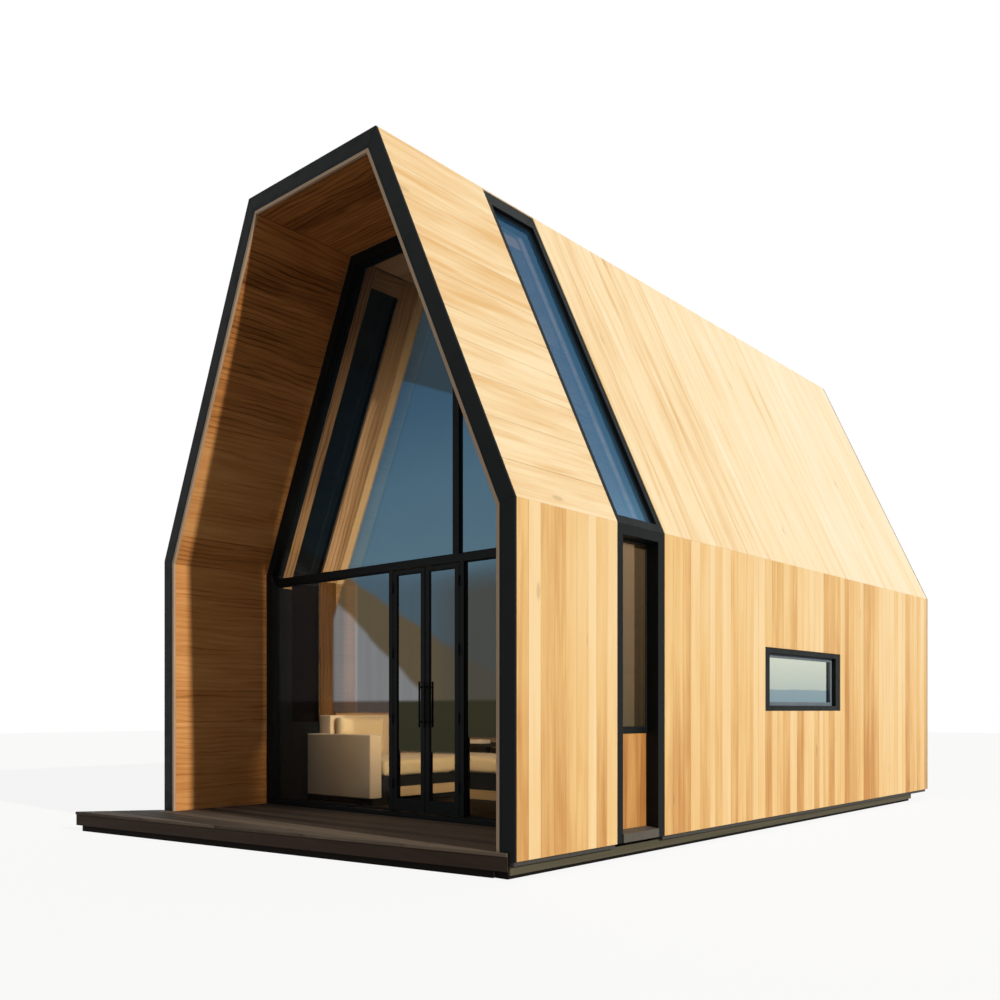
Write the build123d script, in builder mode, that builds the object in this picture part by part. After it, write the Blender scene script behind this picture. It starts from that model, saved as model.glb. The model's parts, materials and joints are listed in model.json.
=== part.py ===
"""A timber cabin with upright side walls, steep faceted roof slopes and a narrow flat top.

The shell is one faceted cross-section drawn along Y.  It is open at the front, where a covered
porch leads to a recessed glazed wall with a pair of hinged glazed leaves, and closed at the rear.
+X is right, +Y runs from the front to the rear, +Z is up, and the origin is the centre of the
footprint on the ground.  All sizes are in millimetres.
"""

import os
from math import ceil, hypot

from build123d import *

# --- overall form -------------------------------------------------------------------------------
width = 4600
length = 8550
base_height = 130
eave_rise = 2545
top_rise = 5680
slope_run = 1443

# --- build-up of the shell, from the outside in -------------------------------------------------
cladding_thickness = 24
panel_thickness = 100
lining_thickness = 50
edge_trim_thickness = 20

# --- chassis, skirting boards and floor ---------------------------------------------------------
plinth_inset = 60
rear_overhang = 460
beam_width = 118
beam_height = 96
cross_member_width = 90
cross_member_height = 76
cross_member_spacing = 1150
skirt_thickness = 22
skirt_height = 68
skirt_gap = 2
floor_rise = 60

# --- deck in front of the porch -----------------------------------------------------------------
deck_left_overhang = 516
deck_front_overhang = 664
deck_right_overhang = 16
deck_heel_overhang = 30
deck_board_thickness = 28
deck_gap = 3
fascia_thickness = 26
fascia_height = 104
fascia_inset = 6
bearer_width = 60
joist_width = 60
joist_height = 120
joist_spacing = 560

# --- recessed glazed wall -----------------------------------------------------------------------
glazing_setback = 1100
glazing_frame_width = 92
glazing_frame_depth = 150
member_depth = 80
member_front_step = 48
member_width = 54
upper_mullion_centre = 630
upper_mullion_width = 76
transom_rise = 2414
transom_height = 70
sill_height = 44
glass_thickness = 24

# --- hinged leaves ------------------------------------------------------------------------------
doorway_centre = 241
doorway_width = 870
leaf_thickness = 46
leaf_stile = 52
leaf_top_rail = 40
leaf_bottom_rail = 110
leaf_side_gap = 6
leaf_meeting_gap = 10
leaf_end_gap = 8
leaf_glass_thickness = 20
hinge_radius = 8
hinge_knuckle = 48
hinge_knuckle_gap = 0.5
hinge_plate_width = 34
hinge_plate_thickness = 3
hinge_count = 4
hinge_end_distance = 210
handle_radius = 9
handle_post_radius = 7
handle_length = 420
handle_standoff = 42
handle_post_inset = 50
handle_height = 1050

# --- glazed strips that cut through both walls and both slopes ----------------------------------
strip_width = 700
strip_bar = 64
wall_strip_bar = 90
strip_frame_depth = 152
strip_front_cover = 178
strip_rear_cover = 118
strip_face_step = 8
strip_eave_bar = 84
strip_top_bar = 156
roof_glass_depth = 52
wall_glass_depth = 128
strip_sill_height = 84
strip_sill_slope = 14
strip_rail_rise = 866
strip_rail_height = 44
strip_panel_thickness = 24

# --- side windows -------------------------------------------------------------------------------
window_start = 3800
window_length = 1835
window_sill_rise = 1050
window_height = 630
window_bar = 52
window_jamb = 110
window_face_step = 8
window_glass_depth = 64

# --- corner sofa and table behind the glazed wall -----------------------------------------------
sofa_wall_gap = 16
sofa_front_gap = 375
sofa_length = 2250
sofa_return_length = 2500
sofa_return_depth = 950
sofa_seat_reach = 1080
sofa_arm_reach = 1050
sofa_arm_width = 165
sofa_arm_height = 737
sofa_back_width = 200
sofa_back_height = 940
sofa_back_length = 880
sofa_edge_round = 24
sofa_base_height = 290
sofa_base_setback = 60
sofa_board_height = 104
sofa_board_thickness = 36
cushion_height = 186
cushion_gap = 4
cushion_round = 40
cushion_lift = 0.5
return_cushion_count = 3
pillow_length = 720
pillow_thickness = 150
pillow_height = 470
table_gap = 60
table_start = 110
table_length = 1100
table_depth = 560
table_height = 574
table_top_thickness = 30
table_leg = 44
table_leg_inset = 40

# --- sizes that follow --------------------------------------------------------------------------
front_y = -length / 2
rear_y = length / 2
panel_depth = cladding_thickness + panel_thickness
shell_depth = panel_depth + lining_thickness
slope_rise = top_rise - eave_rise
slope_length = hypot(slope_run, slope_rise)
slope_nx = slope_rise / slope_length
slope_nz = slope_run / slope_length
floor_z = base_height + floor_rise
shell_front_y = front_y + edge_trim_thickness
shell_rear_y = rear_y - edge_trim_thickness
glazing_front_y = front_y + glazing_setback
strip_front_y = glazing_front_y + glazing_frame_depth
strip_rear_y = strip_front_y + strip_width
cover_front_y = strip_front_y + strip_front_cover
cover_rear_y = strip_rear_y - strip_rear_cover
rear_panel_y = shell_rear_y - cladding_thickness
rear_lining_y = rear_panel_y - panel_thickness
room_rear_y = rear_lining_y - lining_thickness
window_front_y = front_y + window_start
window_rear_y = window_front_y + window_length
window_low_z = base_height + window_sill_rise
window_high_z = window_low_z + window_height
chassis_rear_y = rear_y - rear_overhang
room_half_width = width / 2 - shell_depth
member_front_y = glazing_front_y + member_front_step
member_rear_y = member_front_y + member_depth
transom_z = base_height + transom_rise
transom_low_z = transom_z - transom_height / 2
transom_high_z = transom_z + transom_height / 2
sill_z = floor_z + sill_height
strip_rail_z = base_height + strip_rail_rise
strip_rail_high_z = strip_rail_z + strip_rail_height

os.makedirs("parts", exist_ok=True)


def wall_x(depth):
    """Half width of the shell at a depth below its outer face."""
    return width / 2 - depth


def eave_z(depth):
    """Height of the eave corner at a depth below the outer face."""
    return base_height + eave_rise - depth * (1 - slope_nx) / slope_nz


def top_x(depth):
    """Half width of the flat top at a depth below the outer face."""
    return width / 2 - slope_run - depth * (1 - slope_nz) / slope_nx


def top_z(depth):
    """Height of the flat top at a depth below the outer face."""
    return base_height + top_rise - depth


def wall_section(outer, inner, low_z):
    """Corners of the right-hand wall between two depths, mitred at the eave."""
    outer_x = wall_x(outer)
    inner_x = wall_x(inner)
    return [(inner_x, low_z), (outer_x, low_z), (outer_x, eave_z(outer)), (inner_x, eave_z(inner))]


def slope_section(outer, inner):
    """Corners of the right-hand roof slope between two depths, mitred at both ends."""
    eave_corners = [(wall_x(inner), eave_z(inner)), (wall_x(outer), eave_z(outer))]
    top_corners = [(top_x(outer), top_z(outer)), (top_x(inner), top_z(inner))]
    return eave_corners + top_corners


def top_section(outer, inner):
    """Corners of the flat top between two depths, mitred at both ends."""
    outer_corners = [(top_x(outer), top_z(outer)), (-top_x(outer), top_z(outer))]
    inner_corners = [(-top_x(inner), top_z(inner)), (top_x(inner), top_z(inner))]
    return outer_corners + inner_corners


def gable_section(depth, low_z):
    """Corners of the whole faceted gable at a depth below the outer face."""
    right_side = [(wall_x(depth), low_z), (wall_x(depth), eave_z(depth)), (top_x(depth), top_z(depth))]
    left_side = [(-x, z) for x, z in reversed(right_side)]
    return right_side + left_side


def prism(corners, start_y, end_y):
    """Draw a cross-section along Y from start_y to end_y in the part being built."""
    with BuildSketch(Plane.XZ.offset(-end_y)) as section:
        with BuildLine():
            Polyline(*corners, close=True)
        make_face()
    extrude(section.sketch, amount=end_y - start_y)


def block(x_span, y_span, z_span, mode=Mode.ADD):
    """Make a rectangular block between two values on each axis in the part being built."""
    centre_x = (x_span[0] + x_span[1]) / 2
    centre_y = (y_span[0] + y_span[1]) / 2
    with BuildSketch(Plane.XY.offset(z_span[0])) as plan:
        with Locations((centre_x, centre_y)):
            Rectangle(x_span[1] - x_span[0], y_span[1] - y_span[0])
    extrude(plan.sketch, amount=z_span[1] - z_span[0], mode=mode)


def finish(builder, name):
    """Label a finished part and write its STEP file."""
    builder.part.label = name
    export_step(builder.part, f"parts/{name}.step")


# --- chassis ------------------------------------------------------------------------------------
beam_outer_x = width / 2 - plinth_inset - skirt_thickness
beam_inner_x = beam_outer_x - beam_width
beam_rear_y = chassis_rear_y - skirt_thickness

with BuildPart() as chassis_beams:
    block((beam_inner_x, beam_outer_x), (shell_front_y, beam_rear_y), (0, beam_height))
    mirror(about=Plane.YZ)
    block((-beam_width / 2, beam_width / 2), (glazing_front_y, beam_rear_y), (0, beam_height))
finish(chassis_beams, "chassis_beams")

cross_span = beam_rear_y - glazing_front_y - cross_member_width
cross_count = ceil(cross_span / cross_member_spacing) + 1
cross_pitch = cross_span / (cross_count - 1)

with BuildPart() as chassis_cross_members:
    for index in range(cross_count):
        cross_start_y = glazing_front_y + index * cross_pitch
        cross_end_y = cross_start_y + cross_member_width
        cross_z = (beam_height - cross_member_height, beam_height)
        block((beam_width / 2, beam_inner_x), (cross_start_y, cross_end_y), cross_z)
    mirror(about=Plane.YZ)
finish(chassis_cross_members, "chassis_cross_members")

skirt_z = (beam_height - skirt_height, beam_height)
skirt_end_x = beam_outer_x - skirt_gap

with BuildPart() as skirting_boards:
    block((beam_outer_x, beam_outer_x + skirt_thickness), (shell_front_y, chassis_rear_y), skirt_z)
    mirror(about=Plane.YZ)
    block((-skirt_end_x, skirt_end_x), (beam_rear_y, chassis_rear_y), skirt_z)
finish(skirting_boards, "skirting_boards")

with BuildPart() as cabin_floor:
    block((-room_half_width, room_half_width), (glazing_front_y, room_rear_y), (beam_height, floor_z))
finish(cabin_floor, "cabin_floor")

# --- deck: the porch floor and a wedge that widens towards the left -----------------------------
deck_right_x = width / 2 - plinth_inset
deck_right_y = front_y - deck_right_overhang
deck_tip_x = -width / 2 - deck_left_overhang
deck_tip_y = front_y - deck_front_overhang
deck_heel_x = -width / 2 - deck_heel_overhang
deck_back_y = front_y - deck_gap
deck_board_z = floor_z - deck_board_thickness
deck_skew = (deck_right_y - deck_tip_y) / (deck_right_x - deck_tip_x)
heel_skew = (deck_back_y - deck_tip_y) / (deck_heel_x - deck_tip_x)
deck_skew_length = hypot(1, deck_skew)
heel_skew_length = hypot(1, heel_skew)


def deck_front_y(x, inset):
    """Front edge of the deck at x, moved back square to the edge by inset."""
    return deck_tip_y + (x - deck_tip_x) * deck_skew + inset * deck_skew_length


def deck_corner(front_inset, heel_inset):
    """Corner where the inset front edge meets the inset left edge."""
    gap_at_tip = front_inset * deck_skew_length + heel_inset * heel_skew_length
    x = deck_tip_x + gap_at_tip / (heel_skew - deck_skew)
    return x, deck_front_y(x, front_inset)


def heel_x(y, inset):
    """X of the inset left edge at y."""
    return deck_tip_x + (y - deck_tip_y + inset * heel_skew_length) / heel_skew


with BuildPart() as deck_boards:
    with BuildSketch(Plane.XY.offset(deck_board_z)):
        with BuildLine():
            Polyline(
                (room_half_width, glazing_front_y),
                (-room_half_width, glazing_front_y),
                (-room_half_width, deck_back_y),
                (deck_heel_x, deck_back_y),
                (deck_tip_x, deck_tip_y),
                (deck_right_x, deck_right_y),
                (deck_right_x, deck_back_y),
                (room_half_width, deck_back_y),
                close=True,
            )
        make_face()
    extrude(amount=deck_board_thickness)
finish(deck_boards, "deck_boards")

fascia_low_z = deck_board_z - fascia_height
fascia_back = fascia_inset + fascia_thickness

with BuildPart() as deck_fascia:
    with BuildSketch(Plane.XY.offset(fascia_low_z)):
        with BuildLine():
            Polyline(
                (deck_right_x, deck_front_y(deck_right_x, fascia_inset)),
                deck_corner(fascia_inset, fascia_inset),
                (heel_x(deck_back_y, fascia_inset), deck_back_y),
                (heel_x(deck_back_y, fascia_back), deck_back_y),
                deck_corner(fascia_back, fascia_back),
                (beam_inner_x, deck_front_y(beam_inner_x, fascia_back)),
                (beam_inner_x, deck_back_y),
                (deck_right_x, deck_back_y),
                close=True,
            )
        make_face()
    extrude(amount=fascia_height)
finish(deck_fascia, "deck_fascia")

bearer_back = fascia_back + bearer_width

with BuildPart() as deck_bearer:
    with BuildSketch(Plane.XY):
        with BuildLine():
            Polyline(
                (beam_inner_x - deck_gap, deck_front_y(beam_inner_x - deck_gap, fascia_back)),
                deck_corner(fascia_back, fascia_back),
                (heel_x(deck_back_y, fascia_back), deck_back_y),
                (heel_x(deck_back_y, bearer_back), deck_back_y),
                deck_corner(bearer_back, bearer_back),
                (beam_inner_x - deck_gap, deck_front_y(beam_inner_x - deck_gap, bearer_back)),
                close=True,
            )
        make_face()
    extrude(amount=deck_board_z)
finish(deck_bearer, "deck_bearer")

joist_span = 2 * (beam_inner_x - deck_gap)
joist_count = ceil(joist_span / joist_spacing) + 1
joist_pitch = (joist_span - joist_width) / (joist_count - 1)

with BuildPart() as deck_joists:
    for index in range(joist_count):
        joist_left_x = -joist_span / 2 + index * joist_pitch
        joist_right_x = joist_left_x + joist_width
        with BuildSketch(Plane.XY.offset(deck_board_z - joist_height)) as joist_plan:
            with BuildLine():
                Polyline(
                    (joist_left_x, deck_front_y(joist_left_x, bearer_back)),
                    (joist_right_x, deck_front_y(joist_right_x, bearer_back)),
                    (joist_right_x, glazing_front_y),
                    (joist_left_x, glazing_front_y),
                    close=True,
                )
            make_face()
        extrude(joist_plan.sketch, amount=joist_height)
finish(deck_joists, "deck_joists")

# --- insulated structural panels ----------------------------------------------------------------
with BuildPart() as wall_panels:
    panel_corners = wall_section(cladding_thickness, panel_depth, beam_height)
    prism(panel_corners, shell_front_y, strip_front_y)
    prism(panel_corners, strip_rear_y, window_front_y)
    prism(panel_corners, window_rear_y, shell_rear_y)
    mirror(about=Plane.YZ)
finish(wall_panels, "wall_panels")

with BuildPart() as window_bay_panels:
    bay_x = (wall_x(panel_depth), wall_x(cladding_thickness))
    block(bay_x, (window_front_y, window_rear_y), (beam_height, window_low_z))
    head_corners = wall_section(cladding_thickness, panel_depth, window_high_z)
    prism(head_corners, window_front_y, window_rear_y)
    mirror(about=Plane.YZ)
finish(window_bay_panels, "window_bay_panels")

with BuildPart() as roof_panels:
    roof_corners = slope_section(cladding_thickness, panel_depth)
    prism(roof_corners, shell_front_y, strip_front_y)
    prism(roof_corners, strip_rear_y, shell_rear_y)
    mirror(about=Plane.YZ)
finish(roof_panels, "roof_panels")

with BuildPart() as top_panel:
    prism(top_section(cladding_thickness, panel_depth), shell_front_y, shell_rear_y)
finish(top_panel, "top_panel")

with BuildPart() as rear_panel:
    prism(gable_section(panel_depth, beam_height), rear_lining_y, rear_panel_y)
finish(rear_panel, "rear_panel")

# --- outer cladding -----------------------------------------------------------------------------
window_cut_x = (wall_x(shell_depth), wall_x(-edge_trim_thickness))
window_cut_y = (window_front_y, window_rear_y)
window_cut_z = (window_low_z, window_high_z)

with BuildPart() as wall_cladding:
    wall_corners = wall_section(0, cladding_thickness, base_height)
    prism(wall_corners, shell_front_y, strip_front_y)
    prism(wall_corners, strip_rear_y, shell_rear_y)
    block(window_cut_x, window_cut_y, window_cut_z, mode=Mode.SUBTRACT)
    mirror(about=Plane.YZ)
finish(wall_cladding, "wall_cladding")

with BuildPart() as roof_cladding:
    prism(slope_section(0, cladding_thickness), shell_front_y, strip_front_y)
    prism(slope_section(0, cladding_thickness), strip_rear_y, shell_rear_y)
    mirror(about=Plane.YZ)
finish(roof_cladding, "roof_cladding")

with BuildPart() as top_cladding:
    prism(top_section(0, cladding_thickness), shell_front_y, shell_rear_y)
finish(top_cladding, "top_cladding")

with BuildPart() as rear_cladding:
    prism(gable_section(panel_depth, base_height), rear_panel_y, shell_rear_y)
finish(rear_cladding, "rear_cladding")

# --- inner lining of the porch and the room -----------------------------------------------------
with BuildPart() as wall_lining:
    inner_wall_corners = wall_section(panel_depth, shell_depth, base_height)
    cover_wall_corners = wall_section(strip_frame_depth, shell_depth, base_height)
    prism(inner_wall_corners, front_y, strip_front_y)
    prism(cover_wall_corners, strip_front_y, cover_front_y)
    prism(cover_wall_corners, cover_rear_y, strip_rear_y)
    prism(inner_wall_corners, strip_rear_y, room_rear_y)
    block(window_cut_x, window_cut_y, window_cut_z, mode=Mode.SUBTRACT)
    mirror(about=Plane.YZ)
finish(wall_lining, "wall_lining")

with BuildPart() as roof_lining:
    cover_roof_corners = slope_section(strip_frame_depth, shell_depth)
    prism(slope_section(panel_depth, shell_depth), front_y, strip_front_y)
    prism(cover_roof_corners, strip_front_y, cover_front_y)
    prism(cover_roof_corners, cover_rear_y, strip_rear_y)
    prism(slope_section(panel_depth, shell_depth), strip_rear_y, room_rear_y)
    mirror(about=Plane.YZ)
finish(roof_lining, "roof_lining")

with BuildPart() as ceiling_lining:
    prism(top_section(panel_depth, shell_depth), front_y, room_rear_y)
finish(ceiling_lining, "ceiling_lining")

with BuildPart() as rear_lining:
    prism(gable_section(panel_depth, base_height), room_rear_y, rear_lining_y)
finish(rear_lining, "rear_lining")

# --- metal edge trims round the front and rear of the shell -------------------------------------
with BuildPart() as edge_posts:
    prism(wall_section(0, panel_depth, base_height), front_y, shell_front_y)
    prism(wall_section(0, panel_depth, base_height), shell_rear_y, rear_y)
    mirror(about=Plane.YZ)
finish(edge_posts, "edge_posts")

with BuildPart() as edge_rafters:
    prism(slope_section(0, panel_depth), front_y, shell_front_y)
    prism(slope_section(0, panel_depth), shell_rear_y, rear_y)
    mirror(about=Plane.YZ)
finish(edge_rafters, "edge_rafters")

with BuildPart() as edge_heads:
    prism(top_section(0, panel_depth), front_y, shell_front_y)
    prism(top_section(0, panel_depth), shell_rear_y, rear_y)
finish(edge_heads, "edge_heads")

# --- frame of the recessed glazed wall ----------------------------------------------------------
frame_depth = shell_depth + glazing_frame_width

with BuildPart() as glazing_posts:
    prism(wall_section(shell_depth, frame_depth, floor_z), glazing_front_y, strip_front_y)
    mirror(about=Plane.YZ)
finish(glazing_posts, "glazing_posts")

with BuildPart() as glazing_rafters:
    prism(slope_section(shell_depth, frame_depth), glazing_front_y, strip_front_y)
    mirror(about=Plane.YZ)
finish(glazing_rafters, "glazing_rafters")

member_y = (member_front_y, member_rear_y)
pane_middle_y = (member_front_y + member_rear_y) / 2
pane_y = (pane_middle_y - glass_thickness / 2, pane_middle_y + glass_thickness / 2)
post_inner_x = wall_x(frame_depth)

with BuildPart() as glazing_rails:
    prism(top_section(shell_depth, frame_depth), glazing_front_y, strip_front_y)
    block((-post_inner_x, post_inner_x), (glazing_front_y, member_rear_y), (floor_z, sill_z))
finish(glazing_rails, "glazing_rails")

with BuildPart() as transom:
    block((-post_inner_x, post_inner_x), member_y, (transom_low_z, transom_high_z))
finish(transom, "transom")

doorway_left_x = doorway_centre - doorway_width / 2
doorway_right_x = doorway_centre + doorway_width / 2
leaf_width = (doorway_width - 2 * leaf_side_gap - leaf_meeting_gap) / 2
leaf_low_z = sill_z + leaf_end_gap
leaf_high_z = transom_low_z - leaf_end_gap
leaf_front_y = member_front_y
leaf_rear_y = leaf_front_y + leaf_thickness
hinge_y = leaf_front_y - hinge_radius
hinge_span = leaf_high_z - leaf_low_z - 2 * hinge_end_distance
hinge_pitch = hinge_span / (hinge_count - 1)


def hinge_half(pin_x, reach, first_z):
    """Add one barrel knuckle and its plate, which reaches from the pin by reach along X."""
    plate_span = (min(pin_x, pin_x + reach), max(pin_x, pin_x + reach))
    plate_y = (leaf_front_y - hinge_plate_thickness, leaf_front_y)
    with BuildSketch(Plane.XY.offset(first_z)) as knuckle:
        with Locations((pin_x, hinge_y)):
            Circle(hinge_radius)
    extrude(knuckle.sketch, amount=hinge_knuckle)
    block(plate_span, plate_y, (first_z, first_z + hinge_knuckle))


def upper_light(centre_x, light_width, span_y):
    """Add the part of the light above the transom that lies within a width about centre_x."""
    with BuildSketch(Plane.XZ.offset(-span_y[1])) as light:
        with BuildLine():
            Polyline(*gable_section(frame_depth, transom_high_z), close=True)
        make_face()
        with Locations((centre_x, top_z(0) / 2)):
            Rectangle(light_width, top_z(0), mode=Mode.INTERSECT)
    extrude(light.sketch, amount=span_y[1] - span_y[0])


left_pin_x = doorway_left_x + leaf_side_gap / 2
right_pin_x = doorway_right_x - leaf_side_gap / 2
hinge_levels = [leaf_low_z + hinge_end_distance + index * hinge_pitch for index in range(hinge_count)]

with BuildPart() as mullions:
    block((doorway_left_x - member_width, doorway_left_x), member_y, (sill_z, transom_low_z))
    block((doorway_right_x, doorway_right_x + member_width), member_y, (sill_z, transom_low_z))
    for level in hinge_levels:
        hinge_half(left_pin_x, -hinge_plate_width, level)
        hinge_half(right_pin_x, hinge_plate_width, level)
    upper_light(upper_mullion_centre, upper_mullion_width, member_y)
finish(mullions, "mullions")

with BuildPart() as front_glass:
    lower_z = (sill_z, transom_low_z)
    block((-post_inner_x, doorway_left_x - member_width), pane_y, lower_z)
    block((doorway_right_x + member_width, post_inner_x), pane_y, lower_z)
    left_light_width = upper_mullion_centre - upper_mullion_width / 2 + post_inner_x
    right_light_width = 2 * post_inner_x - upper_mullion_width - left_light_width
    upper_light(left_light_width / 2 - post_inner_x, left_light_width, pane_y)
    upper_light(post_inner_x - right_light_width / 2, right_light_width, pane_y)
finish(front_glass, "front_glass")

# --- hinged leaves ------------------------------------------------------------------------------
leaf_glass_y = leaf_front_y + leaf_thickness / 2
leaf_glass_span = (leaf_glass_y - leaf_glass_thickness / 2, leaf_glass_y + leaf_glass_thickness / 2)
leaf_light_z = (leaf_low_z + leaf_bottom_rail, leaf_high_z - leaf_top_rail)
handle_z = floor_z + handle_height
handle_y = leaf_front_y - handle_standoff


def leaf_frame(hinge_x, side):
    """Add one glazed leaf's frame, its knuckles and its pull bar; side is +1 to reach right."""
    near_x = hinge_x + side * leaf_side_gap / 2
    far_x = near_x + side * leaf_width
    frame_x = (min(near_x, far_x), max(near_x, far_x))
    light_x = (frame_x[0] + leaf_stile, frame_x[1] - leaf_stile)
    block(frame_x, (leaf_front_y, leaf_rear_y), (leaf_low_z, leaf_high_z))
    block(light_x, (leaf_front_y, leaf_rear_y), leaf_light_z, mode=Mode.SUBTRACT)
    for level in hinge_levels:
        hinge_half(hinge_x, side * hinge_plate_width, level + hinge_knuckle + hinge_knuckle_gap)
    handle_x = far_x - side * leaf_stile / 2
    with BuildSketch(Plane.XY.offset(handle_z - handle_length / 2)) as pull_bar:
        with Locations((handle_x, handle_y)):
            Circle(handle_radius)
    extrude(pull_bar.sketch, amount=handle_length)
    post_offset = handle_length / 2 - handle_post_inset
    with BuildSketch(Plane.XZ.offset(-leaf_front_y)) as pull_posts:
        with Locations((handle_x, handle_z - post_offset), (handle_x, handle_z + post_offset)):
            Circle(handle_post_radius)
    extrude(pull_posts.sketch, amount=handle_standoff)


def leaf_glass(hinge_x, side):
    """Add the pane that fills one leaf."""
    near_x = hinge_x + side * (leaf_side_gap / 2 + leaf_stile)
    far_x = hinge_x + side * (leaf_side_gap / 2 + leaf_width - leaf_stile)
    block((min(near_x, far_x), max(near_x, far_x)), leaf_glass_span, leaf_light_z)


with BuildPart() as left_door_frame:
    leaf_frame(left_pin_x, 1)
finish(left_door_frame, "left_door_frame")

with BuildPart() as left_door_glass:
    leaf_glass(left_pin_x, 1)
finish(left_door_glass, "left_door_glass")

with BuildPart() as right_door_frame:
    leaf_frame(right_pin_x, -1)
finish(right_door_frame, "right_door_frame")

with BuildPart() as right_door_glass:
    leaf_glass(right_pin_x, -1)
finish(right_door_glass, "right_door_glass")

# --- glazed strips ------------------------------------------------------------------------------
strip_light_y = (strip_front_y + strip_bar, strip_rear_y - strip_bar)
wall_light_y = (strip_front_y + wall_strip_bar, strip_rear_y - wall_strip_bar)
strip_middle_y = (strip_front_y + strip_rear_y) / 2


def slope_plane(depth):
    """Plane square to the right-hand slope at a depth, with its local Y up the slope."""
    origin_x = width / 2 - slope_nx * depth
    origin_z = base_height + eave_rise - slope_nz * depth
    origin = (origin_x, strip_middle_y, origin_z)
    return Plane(origin=origin, x_dir=(0, 1, 0), z_dir=(slope_nx, 0, slope_nz))


strip_light_width = strip_light_y[1] - strip_light_y[0]
strip_light_length = slope_length - strip_eave_bar - strip_top_bar
strip_light_centre = strip_eave_bar + strip_light_length / 2

with BuildPart() as roof_strip_frames:
    prism(slope_section(strip_face_step, strip_frame_depth), strip_front_y, strip_rear_y)
    with BuildSketch(slope_plane(strip_frame_depth)) as roof_light:
        with Locations((0, strip_light_centre)):
            Rectangle(strip_light_width, strip_light_length)
    extrude(roof_light.sketch, amount=strip_frame_depth, mode=Mode.SUBTRACT)
    mirror(about=Plane.YZ)
finish(roof_strip_frames, "roof_strip_frames")

with BuildPart() as roof_strip_glass:
    with BuildSketch(slope_plane(roof_glass_depth)):
        with Locations((0, strip_light_centre)):
            Rectangle(strip_light_width, strip_light_length)
    extrude(amount=-glass_thickness)
    mirror(about=Plane.YZ)
finish(roof_strip_glass, "roof_strip_glass")

strip_x = (wall_x(strip_frame_depth), wall_x(strip_face_step))
strip_head_z = eave_z(0) - strip_eave_bar
strip_sill_z = base_height + strip_sill_height

with BuildPart() as wall_strip_frames:
    strip_corners = wall_section(strip_face_step, strip_frame_depth, base_height)
    prism(strip_corners, strip_front_y, strip_rear_y)
    block(strip_x, wall_light_y, (base_height, strip_rail_z), mode=Mode.SUBTRACT)
    block(strip_x, wall_light_y, (strip_rail_high_z, strip_head_z), mode=Mode.SUBTRACT)
    rail_recess_x = (wall_x(wall_glass_depth - strip_face_step), wall_x(strip_face_step))
    block(rail_recess_x, wall_light_y, (strip_rail_z, strip_rail_high_z), mode=Mode.SUBTRACT)
    mirror(about=Plane.YZ)
finish(wall_strip_frames, "wall_strip_frames")

wall_glass_x = (wall_x(wall_glass_depth + glass_thickness), wall_x(wall_glass_depth))

with BuildPart() as wall_strip_glass:
    block(wall_glass_x, wall_light_y, (strip_rail_high_z, strip_head_z))
    mirror(about=Plane.YZ)
finish(wall_strip_glass, "wall_strip_glass")

strip_infill_x = (wall_x(wall_glass_depth + strip_panel_thickness), wall_x(wall_glass_depth))

with BuildPart() as wall_strip_panels:
    block(strip_infill_x, wall_light_y, (strip_sill_z, strip_rail_z))
    mirror(about=Plane.YZ)
finish(wall_strip_panels, "wall_strip_panels")

with BuildPart() as strip_sills:
    sill_corners = [
        (wall_x(strip_frame_depth), base_height),
        (wall_x(0), base_height),
        (wall_x(0), strip_sill_z - strip_sill_slope),
        (wall_x(wall_glass_depth), strip_sill_z),
        (wall_x(strip_frame_depth), strip_sill_z),
    ]
    prism(sill_corners, *wall_light_y)
    mirror(about=Plane.YZ)
finish(strip_sills, "strip_sills")

# --- side windows -------------------------------------------------------------------------------
window_x = (wall_x(shell_depth), wall_x(window_face_step))
window_light_y = (window_front_y + window_jamb, window_rear_y - window_jamb)
window_light_z = (window_low_z + window_bar, window_high_z - window_bar)

with BuildPart() as window_frames:
    block(window_x, window_cut_y, window_cut_z)
    block(window_x, window_light_y, window_light_z, mode=Mode.SUBTRACT)
    mirror(about=Plane.YZ)
finish(window_frames, "window_frames")

window_glass_x = (wall_x(window_glass_depth + glass_thickness), wall_x(window_glass_depth))

with BuildPart() as window_glass:
    block(window_glass_x, window_light_y, window_light_z)
    mirror(about=Plane.YZ)
finish(window_glass, "window_glass")

# --- furniture ----------------------------------------------------------------------------------
sofa_back_x = sofa_wall_gap - room_half_width
sofa_inner_x = sofa_back_x + sofa_back_width
sofa_seat_x = sofa_back_x + sofa_seat_reach
sofa_right_x = sofa_back_x + sofa_return_length
sofa_front_y = strip_front_y + sofa_front_gap
sofa_arm_y = sofa_front_y + sofa_arm_width
sofa_rear_y = sofa_front_y + sofa_length
return_front_y = sofa_rear_y - sofa_return_depth
sofa_back_y = (sofa_arm_y, sofa_arm_y + sofa_back_length)
sofa_ledge_y = (sofa_back_y[1], sofa_rear_y)
seat_z = floor_z + sofa_base_height
board_y = (return_front_y, return_front_y + sofa_board_thickness)


def pad(x_span, y_span, z_span, radius):
    """Add one padded block to the part being built, with its upright and top edges rounded."""
    with BuildPart(mode=Mode.PRIVATE) as padded:
        block(x_span, y_span, z_span)
        fillet(padded.edges().filter_by(Axis.Z), radius=radius)
        fillet(padded.edges().group_by(Axis.Z)[-1], radius=radius)
    add(padded.part)


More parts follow.
